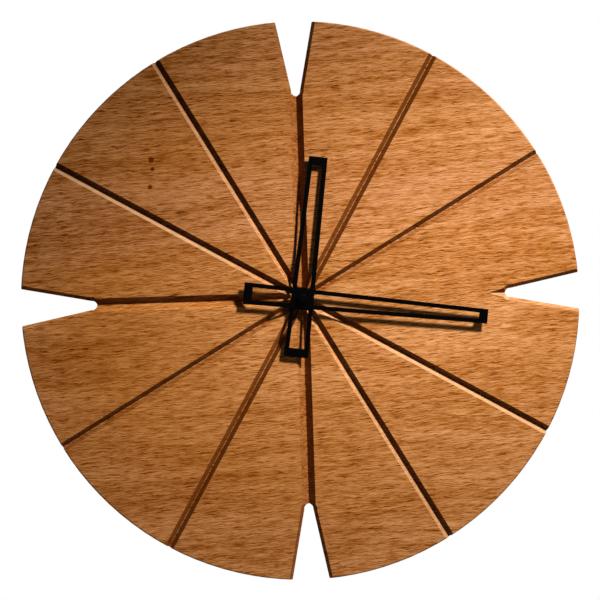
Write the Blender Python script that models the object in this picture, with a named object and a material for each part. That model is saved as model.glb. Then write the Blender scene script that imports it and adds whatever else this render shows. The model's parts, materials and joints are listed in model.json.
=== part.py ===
"""Wooden wall clock: a carved round board, two open hands and a quartz movement in its back.

X is to the right as seen from the front, Z is up, and the front faces -Y.
The origin is the top of the keyhole slot, where the clock hangs, in the plane of the wall.
A depth is a distance in front of the wall.
"""

import math

import bmesh
import bpy

# Clearances
FIT_GAP = 0.0003
RUN_GAP = 0.00045
PIVOT_GAP = 0.00025
CUT_OVERRUN = 0.001

# Wooden board and its carving
DIAL_DIAMETER = 0.300
RIM_ROUNDING = 0.0013
WEB_THICKNESS = 0.00315
NOTCH_RIM_WIDTH = 0.0201
NOTCH_DEPTH = 0.0402
NOTCH_END_RADIUS = 0.0025
NOTCH_BEVEL = 0.0020
WIDE_GROOVE_WIDTH = 0.0073
WIDE_GROOVE_DEPTH = 0.00365
NARROW_GROOVE_WIDTH = 0.0048
NARROW_GROOVE_FLAT = 0.0003
NARROW_GROOVE_DEPTH = 0.0026
RUNOUT_LENGTH = 0.0092
CENTRE_RECESS_DIAMETER = 0.0126
CENTRE_RECESS_DEPTH = 0.0041
POCKET_CLEARANCE = 0.00075
POCKET_CORNER_RADIUS = 0.0040
WIDE_GROOVE_HOURS = (6, 9, 12)
NARROW_GROOVE_HOURS = (1, 2, 4, 5, 7, 8, 10, 11)
NOTCH_HOURS = (3, 6, 9, 12)
RUNOUT_HOUR = 3

# Keyhole hanger
HANGER_RISE = 0.072
HANGER_WIDTH = 0.016
HANGER_LENGTH = 0.044
HANGER_THICKNESS = 0.0015
KEYHOLE_ENTRY_RADIUS = 0.0048
KEYHOLE_SLOT_RADIUS = 0.0024
KEYHOLE_RISE = 0.0090
HEAD_SPACE_RADIUS = 0.0058
HEAD_SPACE_DEPTH = 0.0065
HANGER_SCREW_SPACING = 0.034
SCREW_LENGTH = 0.0140
SCREW_HEAD_RADIUS = 0.0031
SCREW_HEAD_HEIGHT = 0.0016
SCREW_SHANK_RADIUS = 0.0015
SCREW_POINT_LENGTH = 0.0022
SCREW_SLOT_WIDTH = 0.0008
SCREW_SLOT_DEPTH = 0.0007

# Hands
MINUTE_ANGLE = 97.28
HOUR_ANGLE = 8.26
HAND_THICKNESS = 0.0006
HAND_FACE_CLEARANCE = 0.0021
HAND_SPACING = 0.0004
HAND_END_BAR = 0.0046
HOUR_HAND_REACH = 0.0764
HOUR_HAND_TAIL = 0.03125
HOUR_HAND_TIP_WIDTH = 0.0100
HOUR_HAND_TAIL_WIDTH = 0.0131
HOUR_HAND_SIDE_BAR = 0.0024
MINUTE_HAND_REACH = 0.09955
MINUTE_HAND_TAIL = 0.0314
MINUTE_HAND_TIP_WIDTH = 0.0078
MINUTE_HAND_TAIL_WIDTH = 0.0117
MINUTE_HAND_SIDE_BAR = 0.0023
HUB_LENGTH = 0.0119

# Shaft, bush and nut
MINUTE_ARBOR_RADIUS = 0.0018
MINUTE_STUB_RADIUS = 0.0013
MINUTE_SPIGOT_RADIUS = 0.0015
MINUTE_SOCKET_RADIUS = 0.0009
HOUR_TUBE_WALL = 0.00045
BUSH_BORE_GAP = 0.00035
BUSH_WALL = 0.0010
BUSH_FLANGE_RADIUS = 0.0060
BUSH_FLANGE_THICKNESS = 0.0006
NUT_THICKNESS = 0.0020
NUT_ACROSS_FLATS = 0.0102
WASHER_THICKNESS = 0.0005
GASKET_THICKNESS = 0.0008
GASKET_RADIUS = 0.0120
CAP_NUT_RADIUS = 0.0026
CAP_NUT_HEIGHT = 0.0020
CAP_NUT_ROOF = 0.0007
CAP_NUT_ROUNDING = 0.0006

# Gears
PRESSURE_ANGLE = 30.0
ADDENDUM_SHARE = 0.7
DEDENDUM_SHARE = 1.0
TOOTH_THINNING = 0.00008
MOTION_DISTANCE = 0.0120
TRAIN_DISTANCE = 0.01008
MOTOR_SPACING = 0.0084
CANNON_TEETH = 12
MOTION_WHEEL_TEETH = 36
MOTION_PINION_TEETH = 10
HOUR_WHEEL_TEETH = 40
SETTING_PINION_TEETH = 12
CENTRE_WHEEL_TEETH = 48
THIRD_PINION_TEETH = 6
THIRD_WHEEL_TEETH = 45
SECOND_PINION_TEETH = 6
SECOND_WHEEL_TEETH = 30
FIFTH_PINION_TEETH = 6
FIFTH_WHEEL_TEETH = 36
ROTOR_TEETH = 6
MOTION_ANGLE = 90.0
SETTING_ANGLE = 0.0
THIRD_ANGLE = 180.0
FIFTH_ANGLE = 100.0
ROTOR_ANGLE = 120.0
WHEEL_THICKNESS = 0.0008
PINION_OVERHANG = 0.0001
PIVOT_RADIUS = 0.0005
STUD_RADIUS = 0.0008
SETTING_SHAFT_RADIUS = 0.0015
KNOB_RADIUS = 0.0040
KNOB_FLUTES = 12
KNOB_FLUTE_DEPTH = 0.0003
KNOB_THICKNESS = 0.0030
KNOB_WALL_SETBACK = 0.0006

# Motor
MAGNET_RADIUS = 0.0030
MAGNET_COLLAR_RADIUS = 0.0012
MAGNET_THICKNESS = 0.0016
STATOR_THICKNESS = 0.0008
STATOR_AIR_GAP = 0.0005
STATOR_WEB_HALF = 0.0046
STATOR_ARM_WIDTH = 0.0028
STATOR_TOP_RISE = 0.0086
STATOR_SPAN = 0.0205
CORE_THICKNESS = 0.0010
CORE_HALF_WIDTH = 0.0012
CORE_TAB_HALF_WIDTH = 0.0019
COIL_RADIUS = 0.0030
COIL_FLANGE_THICKNESS = 0.0006
COIL_SPOOL_RADIUS = 0.0021
WINDING_SETBACK = 0.0002

# Movement case, plates and posts
REAR_SETBACK = 0.0012
CASE_WALL = 0.0014
CASE_CORNER_RADIUS = 0.0025
CAVITY_CORNER_RADIUS = 0.0012
FRONT_WALL = 0.0016
BAY_FLOOR = 0.0010
PARTITION_THICKNESS = 0.0008
TRAIN_CLEARANCE = 0.0008
CASE_CLEARANCE = 0.0008
COVER_THICKNESS = 0.0012
COVER_SPACE = 0.0016
WELL_CLEARANCE = 0.0009
WELL_WALL = 0.0008
PLATE_THICKNESS = 0.0010
PLATE_MARGIN = 0.0005
POST_RADIUS = 0.0015
BRIDGE_POST_RADIUS = 0.0010
SPIGOT_RADIUS = 0.0006
PLATE_POST_SHARES = ((-1.17, -0.66), (1.17, -0.66), (-1.08, 1.15), (1.08, 1.68))
BRIDGE_POST_SHARES = ((-1.74, -0.73), (0.62, -0.82), (0.06, 2.19))

# Electronics and battery
BATTERY_DIAMETER = 0.0145
BATTERY_LENGTH = 0.0505
BATTERY_NUB_RADIUS = 0.00275
BATTERY_NUB_LENGTH = 0.0012
BATTERY_EDGE = 0.0006
BATTERY_WALL_SETBACK = 0.0002
CONTACT_THICKNESS = 0.00035
CONTACT_PLAY = 0.0007
CONTACT_WIDTH = 0.0030
CONTACT_FOOT = 0.0045
BOARD_THICKNESS = 0.0010
BOARD_CLEARANCE = 0.0015
BOARD_POST_SHARES = ((0.52, 0.10), (0.84, 0.92))
CHIP_SIZE = 0.0050
CHIP_THICKNESS = 0.0011
CRYSTAL_RADIUS = 0.0010
CRYSTAL_LENGTH = 0.0060

# How finely round pieces are divided
RIM_SIDES = 120
SHAFT_SIDES = 16
PIVOT_SIDES = 8
CORNER_STEPS = 3
ARC_STEPS = 8
RIM_STEPS = 3
MESH_SCALE = 1000.0
SMOOTH_ANGLE = 40.0

# Colour, roughness and metallic value of each finish
FINISHES = {
    "oiled_beech": ((0.49, 0.20, 0.063), 0.50, 0.0),
    "black_hands": ((0.012, 0.012, 0.013), 0.38, 0.4),
    "brass": ((0.72, 0.50, 0.20), 0.30, 1.0),
    "steel": ((0.60, 0.60, 0.61), 0.30, 1.0),
    "black_plastic": ((0.020, 0.020, 0.022), 0.45, 0.0),
    "white_plastic": ((0.72, 0.71, 0.67), 0.45, 0.0),
    "black_rubber": ((0.018, 0.018, 0.018), 0.75, 0.0),
    "copper_wire": ((0.62, 0.24, 0.10), 0.35, 1.0),
    "ferrite": ((0.05, 0.05, 0.055), 0.50, 0.2),
    "green_board": ((0.02, 0.16, 0.06), 0.45, 0.0),
    "battery_sleeve": ((0.10, 0.11, 0.13), 0.35, 0.2),
}


def polar(angle, distance, start=(0.0, 0.0)):
    """Place at a distance from a start, with the angle in degrees up from +X."""
    turn = math.radians(angle)
    return (start[0] + distance * math.cos(turn), start[1] + distance * math.sin(turn))


def tooth_module(teeth, distance, partner_teeth):
    """Tooth size that lets two wheels mesh at a distance."""
    return 2 * distance / (teeth + partner_teeth)


def tip_radius(teeth, distance, partner_teeth):
    """Outer radius of a wheel."""
    return tooth_module(teeth, distance, partner_teeth) * (teeth / 2 + ADDENDUM_SHARE)


# Places of the axes across the dial, measured from the shaft
MOTION_PLACE = polar(MOTION_ANGLE, MOTION_DISTANCE)
SETTING_PLACE = polar(SETTING_ANGLE, MOTION_DISTANCE, MOTION_PLACE)
THIRD_PLACE = polar(THIRD_ANGLE, TRAIN_DISTANCE)
FIFTH_PLACE = polar(FIFTH_ANGLE, TRAIN_DISTANCE)
ROTOR_PLACE = polar(ROTOR_ANGLE, MOTOR_SPACING, FIFTH_PLACE)
PLATE_POSTS = [(x * MOTION_DISTANCE, z * MOTION_DISTANCE) for x, z in PLATE_POST_SHARES]
BRIDGE_POSTS = [(x * TRAIN_DISTANCE, z * TRAIN_DISTANCE) for x, z in BRIDGE_POST_SHARES]

# Depths of the layers of the movement, from its cover to its front wall
COVER_FRONT = REAR_SETBACK + COVER_THICKNESS
BRIDGE_REAR = COVER_FRONT + COVER_SPACE
BRIDGE_FRONT = BRIDGE_REAR + PLATE_THICKNESS
FIFTH_REAR = BRIDGE_FRONT + RUN_GAP
SECOND_REAR = FIFTH_REAR + WHEEL_THICKNESS + RUN_GAP
THIRD_REAR = SECOND_REAR + WHEEL_THICKNESS + RUN_GAP
CENTRE_REAR = THIRD_REAR + WHEEL_THICKNESS + RUN_GAP
MIDDLE_REAR = CENTRE_REAR + WHEEL_THICKNESS + RUN_GAP
MIDDLE_FRONT = MIDDLE_REAR + PLATE_THICKNESS
MOTION_REAR = MIDDLE_FRONT + RUN_GAP
HOUR_REAR = MOTION_REAR + WHEEL_THICKNESS + RUN_GAP
CAVITY_FLOOR = HOUR_REAR + WHEEL_THICKNESS + RUN_GAP
CASE_FRONT = max(
    CAVITY_FLOOR + FRONT_WALL,
    BATTERY_WALL_SETBACK + BATTERY_DIAMETER + FIT_GAP + BAY_FLOOR,
)
FRONT_WALL_REAR = CASE_FRONT - FRONT_WALL
BAY_FRONT = CASE_FRONT - BAY_FLOOR
BATTERY_DEPTH = BAY_FRONT - FIT_GAP - BATTERY_DIAMETER / 2
FLANGE_REAR = CASE_FRONT - BUSH_FLANGE_THICKNESS

# Depths of the pieces clamped to the board, and of the board itself
GASKET_REAR = CASE_FRONT + FIT_GAP
POCKET_DEPTH = GASKET_REAR + GASKET_THICKNESS + FIT_GAP
RECESS_FLOOR = POCKET_DEPTH + WEB_THICKNESS
WASHER_REAR = RECESS_FLOOR + FIT_GAP
NUT_REAR = WASHER_REAR + WASHER_THICKNESS + FIT_GAP
BUSH_FRONT = NUT_REAR + NUT_THICKNESS + FIT_GAP
DIAL_FRONT = RECESS_FLOOR + CENTRE_RECESS_DEPTH
HOUR_HAND_REAR = DIAL_FRONT + HAND_FACE_CLEARANCE
MINUTE_HAND_REAR = HOUR_HAND_REAR + HAND_THICKNESS + HAND_SPACING
CAP_NUT_REAR = MINUTE_HAND_REAR + HAND_THICKNESS + FIT_GAP
HANGER_FRONT = HANGER_THICKNESS + FIT_GAP

# How far the walls of the grooves lean out over their rise
WIDE_GROOVE_LEAN = WIDE_GROOVE_WIDTH / 2 / WIDE_GROOVE_DEPTH
NARROW_GROOVE_LEAN = (NARROW_GROOVE_WIDTH - NARROW_GROOVE_FLAT) / 2 / NARROW_GROOVE_DEPTH

# Radii round the shaft
TUBE_BORE = MINUTE_ARBOR_RADIUS + FIT_GAP
TUBE_RADIUS = TUBE_BORE + HOUR_TUBE_WALL
BUSH_BORE = TUBE_RADIUS + BUSH_BORE_GAP
BUSH_RADIUS = BUSH_BORE + BUSH_WALL
BUSH_HOLE = BUSH_RADIUS + FIT_GAP
PIVOT_HOLE = PIVOT_RADIUS + PIVOT_GAP
SPIGOT_HOLE = SPIGOT_RADIUS + FIT_GAP
SHAFT_HOLE = SETTING_SHAFT_RADIUS + PIVOT_GAP
WELL_RADIUS = KNOB_RADIUS + WELL_CLEARANCE
WELL_FLOOR = KNOB_WALL_SETBACK + KNOB_THICKNESS + RUN_GAP

# Outlines of the movement across the dial
HOUR_WHEEL_TIP = tip_radius(HOUR_WHEEL_TEETH, MOTION_DISTANCE, MOTION_PINION_TEETH)
MOTION_WHEEL_TIP = tip_radius(MOTION_WHEEL_TEETH, MOTION_DISTANCE, CANNON_TEETH)
CENTRE_WHEEL_TIP = tip_radius(CENTRE_WHEEL_TEETH, TRAIN_DISTANCE, THIRD_PINION_TEETH)
THIRD_WHEEL_TIP = tip_radius(THIRD_WHEEL_TEETH, TRAIN_DISTANCE, SECOND_PINION_TEETH)
TRAIN_REACH = max(HOUR_WHEEL_TIP, CENTRE_WHEEL_TIP, THIRD_WHEEL_TIP)
CAVITY_LOW = -(TRAIN_REACH + TRAIN_CLEARANCE)
BAY_HIGH = CAVITY_LOW - PARTITION_THICKNESS
BATTERY_HEIGHT = BAY_HIGH - FIT_GAP - BATTERY_DIAMETER / 2
BAY_LOW = BATTERY_HEIGHT - BATTERY_DIAMETER / 2 - FIT_GAP
STATOR_TOP = ROTOR_PLACE[1] + STATOR_TOP_RISE
CAVITY_HIGH = CASE_CLEARANCE + max(
    STATOR_TOP,
    MOTION_PLACE[1] + MOTION_WHEEL_TIP,
    SETTING_PLACE[1] + WELL_RADIUS + WELL_WALL,
)
COIL_X = THIRD_PLACE[0] - THIRD_WHEEL_TIP - COIL_RADIUS - RUN_GAP
BLADE_X = BATTERY_LENGTH / 2 + FIT_GAP
CASE_HALF = max(
    BLADE_X + CONTACT_THICKNESS + CONTACT_PLAY,
    COIL_RADIUS + CASE_CLEARANCE - COIL_X,
    SETTING_PLACE[0] + WELL_RADIUS + WELL_WALL + CASE_CLEARANCE,
)
BOARD_LEFT = TRAIN_REACH + BOARD_CLEARANCE
BOARD_RIGHT = BLADE_X - FIT_GAP
BOARD_LOW = CAVITY_LOW + CONTACT_THICKNESS + 3 * FIT_GAP
BOARD_HIGH = SETTING_PLACE[1] - WELL_RADIUS - WELL_WALL - FIT_GAP
BOARD_FRONT = FIFTH_REAR
BOARD_REAR = BOARD_FRONT - BOARD_THICKNESS
STATOR_REAR = SECOND_REAR
CORE_REAR = STATOR_REAR + STATOR_THICKNESS + FIT_GAP
COIL_DEPTH = CORE_REAR + CORE_THICKNESS / 2
UPPER_ARM = STATOR_TOP - STATOR_ARM_WIDTH / 2
LOWER_ARM = STATOR_TOP + STATOR_ARM_WIDTH / 2 - STATOR_SPAN


def circle(radius, sides, centre=(0.0, 0.0)):
    """Points round a circle."""
    return [polar(360 * index / sides, radius, centre) for index in range(sides)]


def arc(centre, radius, start, end, steps=ARC_STEPS):
    """Points along an arc, with its angles in degrees."""
    turns = [start + (end - start) * index / steps for index in range(steps + 1)]
    return [polar(turn, radius, centre) for turn in turns]


def rectangle(left, right, low, high):
    """Corners of a rectangle."""
    return [(left, low), (right, low), (right, high), (left, high)]


def rounded_rectangle(left, right, low, high, radius):
    """Outline of a rectangle with round corners."""
    corners = (
        ((right - radius, high - radius), 0),
        ((left + radius, high - radius), 90),
        ((left + radius, low + radius), 180),
        ((right - radius, low + radius), 270),
    )
    points = []
    for centre, start in corners:
        points += arc(centre, radius, start, start + 90, CORNER_STEPS)
    return points


def round_hull(places, radius):
    """Outline of a band stretched round pads of one radius."""
    points = sorted(point for place in places for point in circle(radius, SHAFT_SIDES, place))
    sides = []
    for ordered in (points, points[::-1]):
        chain = []
        for point in ordered:
            while len(chain) > 1 and turns_right(chain[-2], chain[-1], point):
                chain.pop()
            chain.append(point)
        sides += chain[:-1]
    return sides


def turns_right(first, second, third):
    """Whether a path over three places doesn't turn to the left."""
    ahead = (second[0] - first[0], second[1] - first[1])
    aside = (third[0] - first[0], third[1] - first[1])
    return ahead[0] * aside[1] - ahead[1] * aside[0] <= 0


def involute(angle):
    """Involute function of an angle in radians."""
    return math.tan(angle) - angle


def gear_outline(teeth, distance, partner_teeth, first_tooth):
    """Outline of a wheel with short involute teeth; the first tooth's angle is in radians."""
    module = tooth_module(teeth, distance, partner_teeth)
    pitch_radius = module * teeth / 2
    pressure = math.radians(PRESSURE_ANGLE)
    base_radius = pitch_radius * math.cos(pressure)
    half_at_pitch = math.pi / (2 * teeth) - TOOTH_THINNING / (2 * pitch_radius)
    radii = [pitch_radius - DEDENDUM_SHARE * module, pitch_radius + ADDENDUM_SHARE * module]
    if teeth <= partner_teeth:
        radii.insert(1, pitch_radius)
    flank = []
    for radius in radii:
        slope = math.acos(min(1.0, base_radius / radius))
        flank.append((radius, half_at_pitch + involute(pressure) - involute(slope)))
    points = []
    for index in range(teeth):
        middle = first_tooth + 2 * math.pi * index / teeth
        for radius, half in flank:
            points.append(polar(math.degrees(middle - half), radius))
        for radius, half in reversed(flank):
            points.append(polar(math.degrees(middle + half), radius))
    return points


def meshed_tooth(first_tooth, teeth, direction, partner_teeth):
    """First tooth of a partner that lies in a direction, so that its teeth fall in the gaps."""
    passed = ((direction - first_tooth) * teeth / (2 * math.pi)) % 1
    return direction + math.pi - (2 * math.pi / partner_teeth) * (0.5 - passed)


def draw(mesh, outline, depth):
    """Closed loop of edges at a depth."""
    corners = [
        mesh.verts.new((x * MESH_SCALE, -depth * MESH_SCALE, z * MESH_SCALE)) for x, z in outline
    ]
    return [mesh.edges.new((corners[index - 1], corners[index])) for index in range(len(corners))]


def carry(mesh, loop, depth):
    """Wall from a loop to another depth; gives the loop at its far edge."""
    made = bmesh.ops.extrude_edge_only(mesh, edges=loop)["geom"]
    corners = {item for item in made if isinstance(item, bmesh.types.BMVert)}
    for corner in corners:
        corner.co.y = -depth * MESH_SCALE
    edges = [item for item in made if isinstance(item, bmesh.types.BMEdge)]
    return [edge for edge in edges if corners.issuperset(edge.verts)]


def close(mesh, *loops):
    """Flat face between loops at one depth."""
    edges = [edge for loop in loops for edge in loop]
    bmesh.ops.triangle_fill(mesh, use_beauty=True, edges=edges, normal=(0, 1, 0))


def step(mesh, loop, outline, depth, end):
    """Face from a loop in or out to an outline at its depth, and that outline's wall."""
    inner = draw(mesh, outline, depth)
    close(mesh, loop, inner)
    return carry(mesh, inner, end)


def pin(mesh, levels, base):
    """Stepped pin that stands on a face; gives the loop at its foot."""
    foot = draw(mesh, levels[0][0], base)
    top = carry(mesh, foot, levels[0][1])
    last = levels[0][1]
    for outline, end in levels[1:]:
        top = step(mesh, top, outline, last, end)
        last = end
    close(mesh, top)
    return foot


def stacked(levels, bores=()):
    """Solid of flat sections, each an outline with the depths where it starts and ends."""
    mesh = bmesh.new()
    first = levels[0][1]
    last = levels[-1][2]
    rear_bores = [draw(mesh, bore, first) for bore in bores]
    front_bores = [carry(mesh, loop, last) for loop in rear_bores]
    rear = draw(mesh, levels[0][0], first)
    close(mesh, rear, *rear_bores)
    top = carry(mesh, rear, levels[0][2])
    for outline, start, end in levels[1:]:
        top = step(mesh, top, outline, start, end)
    close(mesh, top, *front_bores)
    return mesh


def flare(mesh, loop, outline, depth):
    """Sloping wall from a loop to an outline with as many points at another depth."""
    front = draw(mesh, outline, depth)
    bmesh.ops.bridge_loops(mesh, edges=loop + front)
    return front


def turned(profile, sides):
    """Solid of a profile of radii and depths, turned round the depth axis."""
    mesh = bmesh.new()
    corners = [mesh.verts.new((r * MESH_SCALE, -depth * MESH_SCALE, 0.0)) for r, depth in profile]
    edges = [mesh.edges.new(pair) for pair in zip(corners, corners[1:])]
    if profile[0][0] > 0:
        edges.append(mesh.edges.new((corners[-1], corners[0])))
    bmesh.ops.spin(
        mesh, geom=corners + edges, axis=(0, 1, 0), cent=(0, 0, 0), steps=sides,
        angle=2 * math.pi, use_merge=True,
    )
    bmesh.ops.remove_doubles(mesh, verts=mesh.verts, dist=1 / MESH_SCALE)
    return mesh


def tube(outer, inner, rear, front, sides=SHAFT_SIDES):
    """Round sleeve."""
    return stacked([(circle(outer, sides), rear, front)], [circle(inner, sides)])


def finish_material(name, finish):
    """Principled material of one piece."""
    colour, roughness, metallic = FINISHES[finish]
    material = bpy.data.materials.new(name + "_" + finish)
    material.use_nodes = True
    shader = material.node_tree.nodes["Principled BSDF"]
    shader.inputs["Base Color"].default_value = (*colour, 1.0)
    shader.inputs["Roughness"].default_value = roughness
    shader.inputs["Metallic"].default_value = metallic
    material.diffuse_color = (*colour, 1.0)
    return material


def add_object(name, mesh, parent, place=(0.0, 0.0), depth=0.0, rotation=(0.0, 0.0, 0.0)):
    """Object from a mesh drawn in millimetres, at a place across the dial."""
    bmesh.ops.scale(mesh, vec=(1 / MESH_SCALE,) * 3, verts=mesh.verts)
    bmesh.ops.recalc_face_normals(mesh, faces=mesh.faces)
    data = bpy.data.meshes.new(name)
    mesh.to_mesh(data)
    mesh.free()
    data.shade_smooth()
    data.set_sharp_from_angle(angle=math.radians(SMOOTH_ANGLE))
    made = bpy.data.objects.new(name, data)
    bpy.context.collection.objects.link(made)
    made.parent = parent
    made.location = (place[0], -depth, place[1])
    made.rotation_euler = rotation
    return made


def add_piece(name, mesh, finish, parent, **where):
    """Named piece with its own finish."""
    made = add_object(name, mesh, parent, **where)
    made.data.materials.append(finish_material(name, finish))
    return made


def add_tool(name, mesh, parent, **where):
    """Hidden shape that cuts another, or joins it."""
    tool = add_object(name, mesh, parent, **where)
    tool.hide_render = True
    tool.display_type = "WIRE"
    return tool


def combine(piece, other_mesh, operation, **where):
    """Cut a shape out of a piece, or add it, as a live Boolean."""
    name = piece.name + "_" + operation.lower() + str(len(piece.modifiers))
    modifier = piece.modifiers.new(name, "BOOLEAN")
    modifier.operation = operation
    modifier.solver = "EXACT"
    modifier.object = add_tool(name, other_mesh, piece.parent, **where)


def carve(piece, tools):
    """Cut many shapes that cross each other out of a piece in one go."""
    group = bpy.data.collections.new(piece.name + "_tools")
    bpy.context.scene.collection.children.link(group)
    for tool in tools:
        group.objects.link(tool)
    modifier = piece.modifiers.new(group.name, "BOOLEAN")
    modifier.operation = "DIFFERENCE"
    modifier.solver = "MANIFOLD"
    modifier.operand_type = "COLLECTION"
    modifier.collection = group


def block(left, right, low, high, rear, front):
    """Rectangular solid."""
    return stacked([(rectangle(left, right, low, high), rear, front)])


def hour_rotation(hour):
    """Rotation that brings a shape along the depth axis to an hour of the dial."""
    return (-math.pi / 2, math.radians(hour * 30), 0.0)


def groove_section(half_width, half_flat, lean):
    """V across a groove, from above the face to its bottom; lean is its walls' run over rise."""
    top = half_width + CUT_OVERRUN * lean
    bottom = DIAL_FRONT - (half_width - half_flat) / lean
    return [
        (-top, -(DIAL_FRONT + CUT_OVERRUN)), (top, -(DIAL_FRONT + CUT_OVERRUN)),
        (half_flat, -bottom), (-half_flat, -bottom),
    ]


def notch_outline(grow):
    """Wedge of a notch at 12, widened by a bevel, from its round end to past the rim."""
    rim_radius = DIAL_DIAMETER / 2
    end_height = rim_radius - NOTCH_DEPTH + NOTCH_END_RADIUS
    corner_height = math.sqrt(rim_radius ** 2 - (NOTCH_RIM_WIDTH / 2) ** 2) - end_height
    to_corner = math.hypot(NOTCH_RIM_WIDTH / 2, corner_height)
    spread = math.atan2(NOTCH_RIM_WIDTH / 2, corner_height)
    spread -= math.asin(NOTCH_END_RADIUS / to_corner)
    turn = math.degrees(spread)
    end = arc((0.0, end_height), NOTCH_END_RADIUS + grow, 180 - turn, 360 + turn)
    length = (rim_radius + 2 * CUT_OVERRUN - end[0][1]) / math.cos(spread)
    left = (end[0][0] - length * math.sin(spread), end[0][1] + length * math.cos(spread))
    return [left] + end + [(-left[0], left[1])]


def notch_cutter():
    """Through cut of a notch that widens to the bevel of its front edge."""
    mesh = bmesh.new()
    rear = draw(mesh, notch_outline(0.0), -CUT_OVERRUN)
    close(mesh, rear)
    loop = carry(mesh, rear, DIAL_FRONT - NOTCH_BEVEL / WIDE_GROOVE_LEAN)
    mouth = notch_outline(NOTCH_BEVEL + CUT_OVERRUN * WIDE_GROOVE_LEAN)
    close(mesh, flare(mesh, loop, mouth, DIAL_FRONT + CUT_OVERRUN))
    return mesh


def round_board():
    """Round board whose edge is rounded towards the front."""
    radius = DIAL_DIAMETER / 2
    mesh = bmesh.new()
    rear = draw(mesh, circle(radius, RIM_SIDES), 0.0)
    close(mesh, rear)
    loop = carry(mesh, rear, DIAL_FRONT - RIM_ROUNDING)
    centre = (radius - RIM_ROUNDING, DIAL_FRONT - RIM_ROUNDING)
    for ring_radius, depth in arc(centre, RIM_ROUNDING, 0, 90, RIM_STEPS)[1:]:
        loop = flare(mesh, loop, circle(ring_radius, RIM_SIDES), depth)
    close(mesh, loop)
    return mesh


def groove_tools(shaft):
    """V-grooves of the hours, and the short run-out behind the notch without a groove."""
    start = CENTRE_RECESS_DIAMETER / 4
    end = DIAL_DIAMETER / 2 - NOTCH_DEPTH + 2 * NOTCH_END_RADIUS
    narrow = groove_section(NARROW_GROOVE_WIDTH / 2, NARROW_GROOVE_FLAT / 2, NARROW_GROOVE_LEAN)
    wide = groove_section(WIDE_GROOVE_WIDTH / 2, 0.0, WIDE_GROOVE_LEAN)[:3]
    point = groove_section(0.0, 0.0, WIDE_GROOVE_LEAN)[:3]
    tools = []
    for hour in NARROW_GROOVE_HOURS:
        mesh = stacked([(narrow, start, DIAL_DIAMETER / 2 + CUT_OVERRUN)])
        tools.append(add_tool(f"groove_{hour}", mesh, shaft, rotation=hour_rotation(hour)))
    for hour in WIDE_GROOVE_HOURS:
        mesh = stacked([(wide, start, end)])
        tools.append(add_tool(f"groove_{hour}", mesh, shaft, rotation=hour_rotation(hour)))
    mesh = bmesh.new()
    tip = draw(mesh, point, end - 2 * NOTCH_END_RADIUS - RUNOUT_LENGTH)
    close(mesh, tip)
    mouth = flare(mesh, tip, wide, end - NOTCH_END_RADIUS)
    close(mesh, carry(mesh, mouth, end))
    tools.append(add_tool("groove_runout", mesh, shaft, rotation=hour_rotation(RUNOUT_HOUR)))
    return tools


def hole_tools(shaft):
    """Recess and hole at the centre, and the pocket of the movement."""
    side = CASE_HALF + CASE_WALL + POCKET_CLEARANCE
    low = BAY_LOW - CASE_WALL - POCKET_CLEARANCE
    high = CAVITY_HIGH + CASE_WALL + POCKET_CLEARANCE
    pocket = rounded_rectangle(-side, side, low, high, POCKET_CORNER_RADIUS)
    recess = circle(CENTRE_RECESS_DIAMETER / 2, SHAFT_SIDES)
    hole = circle(BUSH_HOLE, SHAFT_SIDES)
    levels = (
        ("centre_recess", recess, RECESS_FLOOR, DIAL_FRONT + CUT_OVERRUN),
        ("movement_pocket", pocket, -CUT_OVERRUN, POCKET_DEPTH),
        ("bush_hole", hole, POCKET_DEPTH - CUT_OVERRUN, RECESS_FLOOR + CUT_OVERRUN),
    )
    return [add_tool(name, stacked([level]), shaft) for name, *level in levels]


def make_dial(shaft):
    """Round board with its notches, grooves, centre hole, movement pocket and hanger recess."""
    dial = add_piece("wooden_dial", round_board(), "oiled_beech", shaft)
    tools = []
    for hour in NOTCH_HOURS:
        turn = (0.0, math.radians(hour * 30), 0.0)
        tools.append(add_tool(f"notch_{hour}", notch_cutter(), shaft, rotation=turn))
    carve(dial, tools + groove_tools(shaft) + hole_tools(shaft) + hanger_tools(shaft))


def slot_outline(radius, low, high):
    """Upright slot with round ends whose arcs are centred at two heights."""
    return arc((0.0, high), radius, 0, 180) + arc((0.0, low), radius, 180, 360)


def keyhole_outline():
    """Slot with a wide round entry below, its top at the origin."""
    slot_height = -KEYHOLE_SLOT_RADIUS
    entry_height = slot_height - KEYHOLE_RISE
    shoulder = 90 - math.degrees(math.asin(KEYHOLE_SLOT_RADIUS / KEYHOLE_ENTRY_RADIUS))
    start = 180 - shoulder
    end = 360 + shoulder
    entry = arc((0.0, entry_height), KEYHOLE_ENTRY_RADIUS, start, end, 2 * ARC_STEPS)
    return arc((0.0, slot_height), KEYHOLE_SLOT_RADIUS, 0, 180) + entry


def hanger_middle():
    """Height of the middle of the hanger plate, halfway down the keyhole."""
    return -(2 * KEYHOLE_SLOT_RADIUS + KEYHOLE_RISE + KEYHOLE_ENTRY_RADIUS) / 2


def hanger_outline(grow):
    """Round-ended plate, widened by a gap."""
    straight = (HANGER_LENGTH - HANGER_WIDTH) / 2
    middle = hanger_middle()
    return slot_outline(HANGER_WIDTH / 2 + grow, middle - straight, middle + straight)


def screw_heights():
    """Heights of the two screws of the hanger plate."""
    middle = hanger_middle()
    return (middle + HANGER_SCREW_SPACING / 2, middle - HANGER_SCREW_SPACING / 2)


def screw_profile():
    """Countersunk wood screw."""
    return [
        (0.0, 0.0), (SCREW_HEAD_RADIUS, 0.0), (SCREW_SHANK_RADIUS, SCREW_HEAD_HEIGHT),
        (SCREW_SHANK_RADIUS, SCREW_LENGTH - SCREW_POINT_LENGTH), (0.0, SCREW_LENGTH),
    ]


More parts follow.
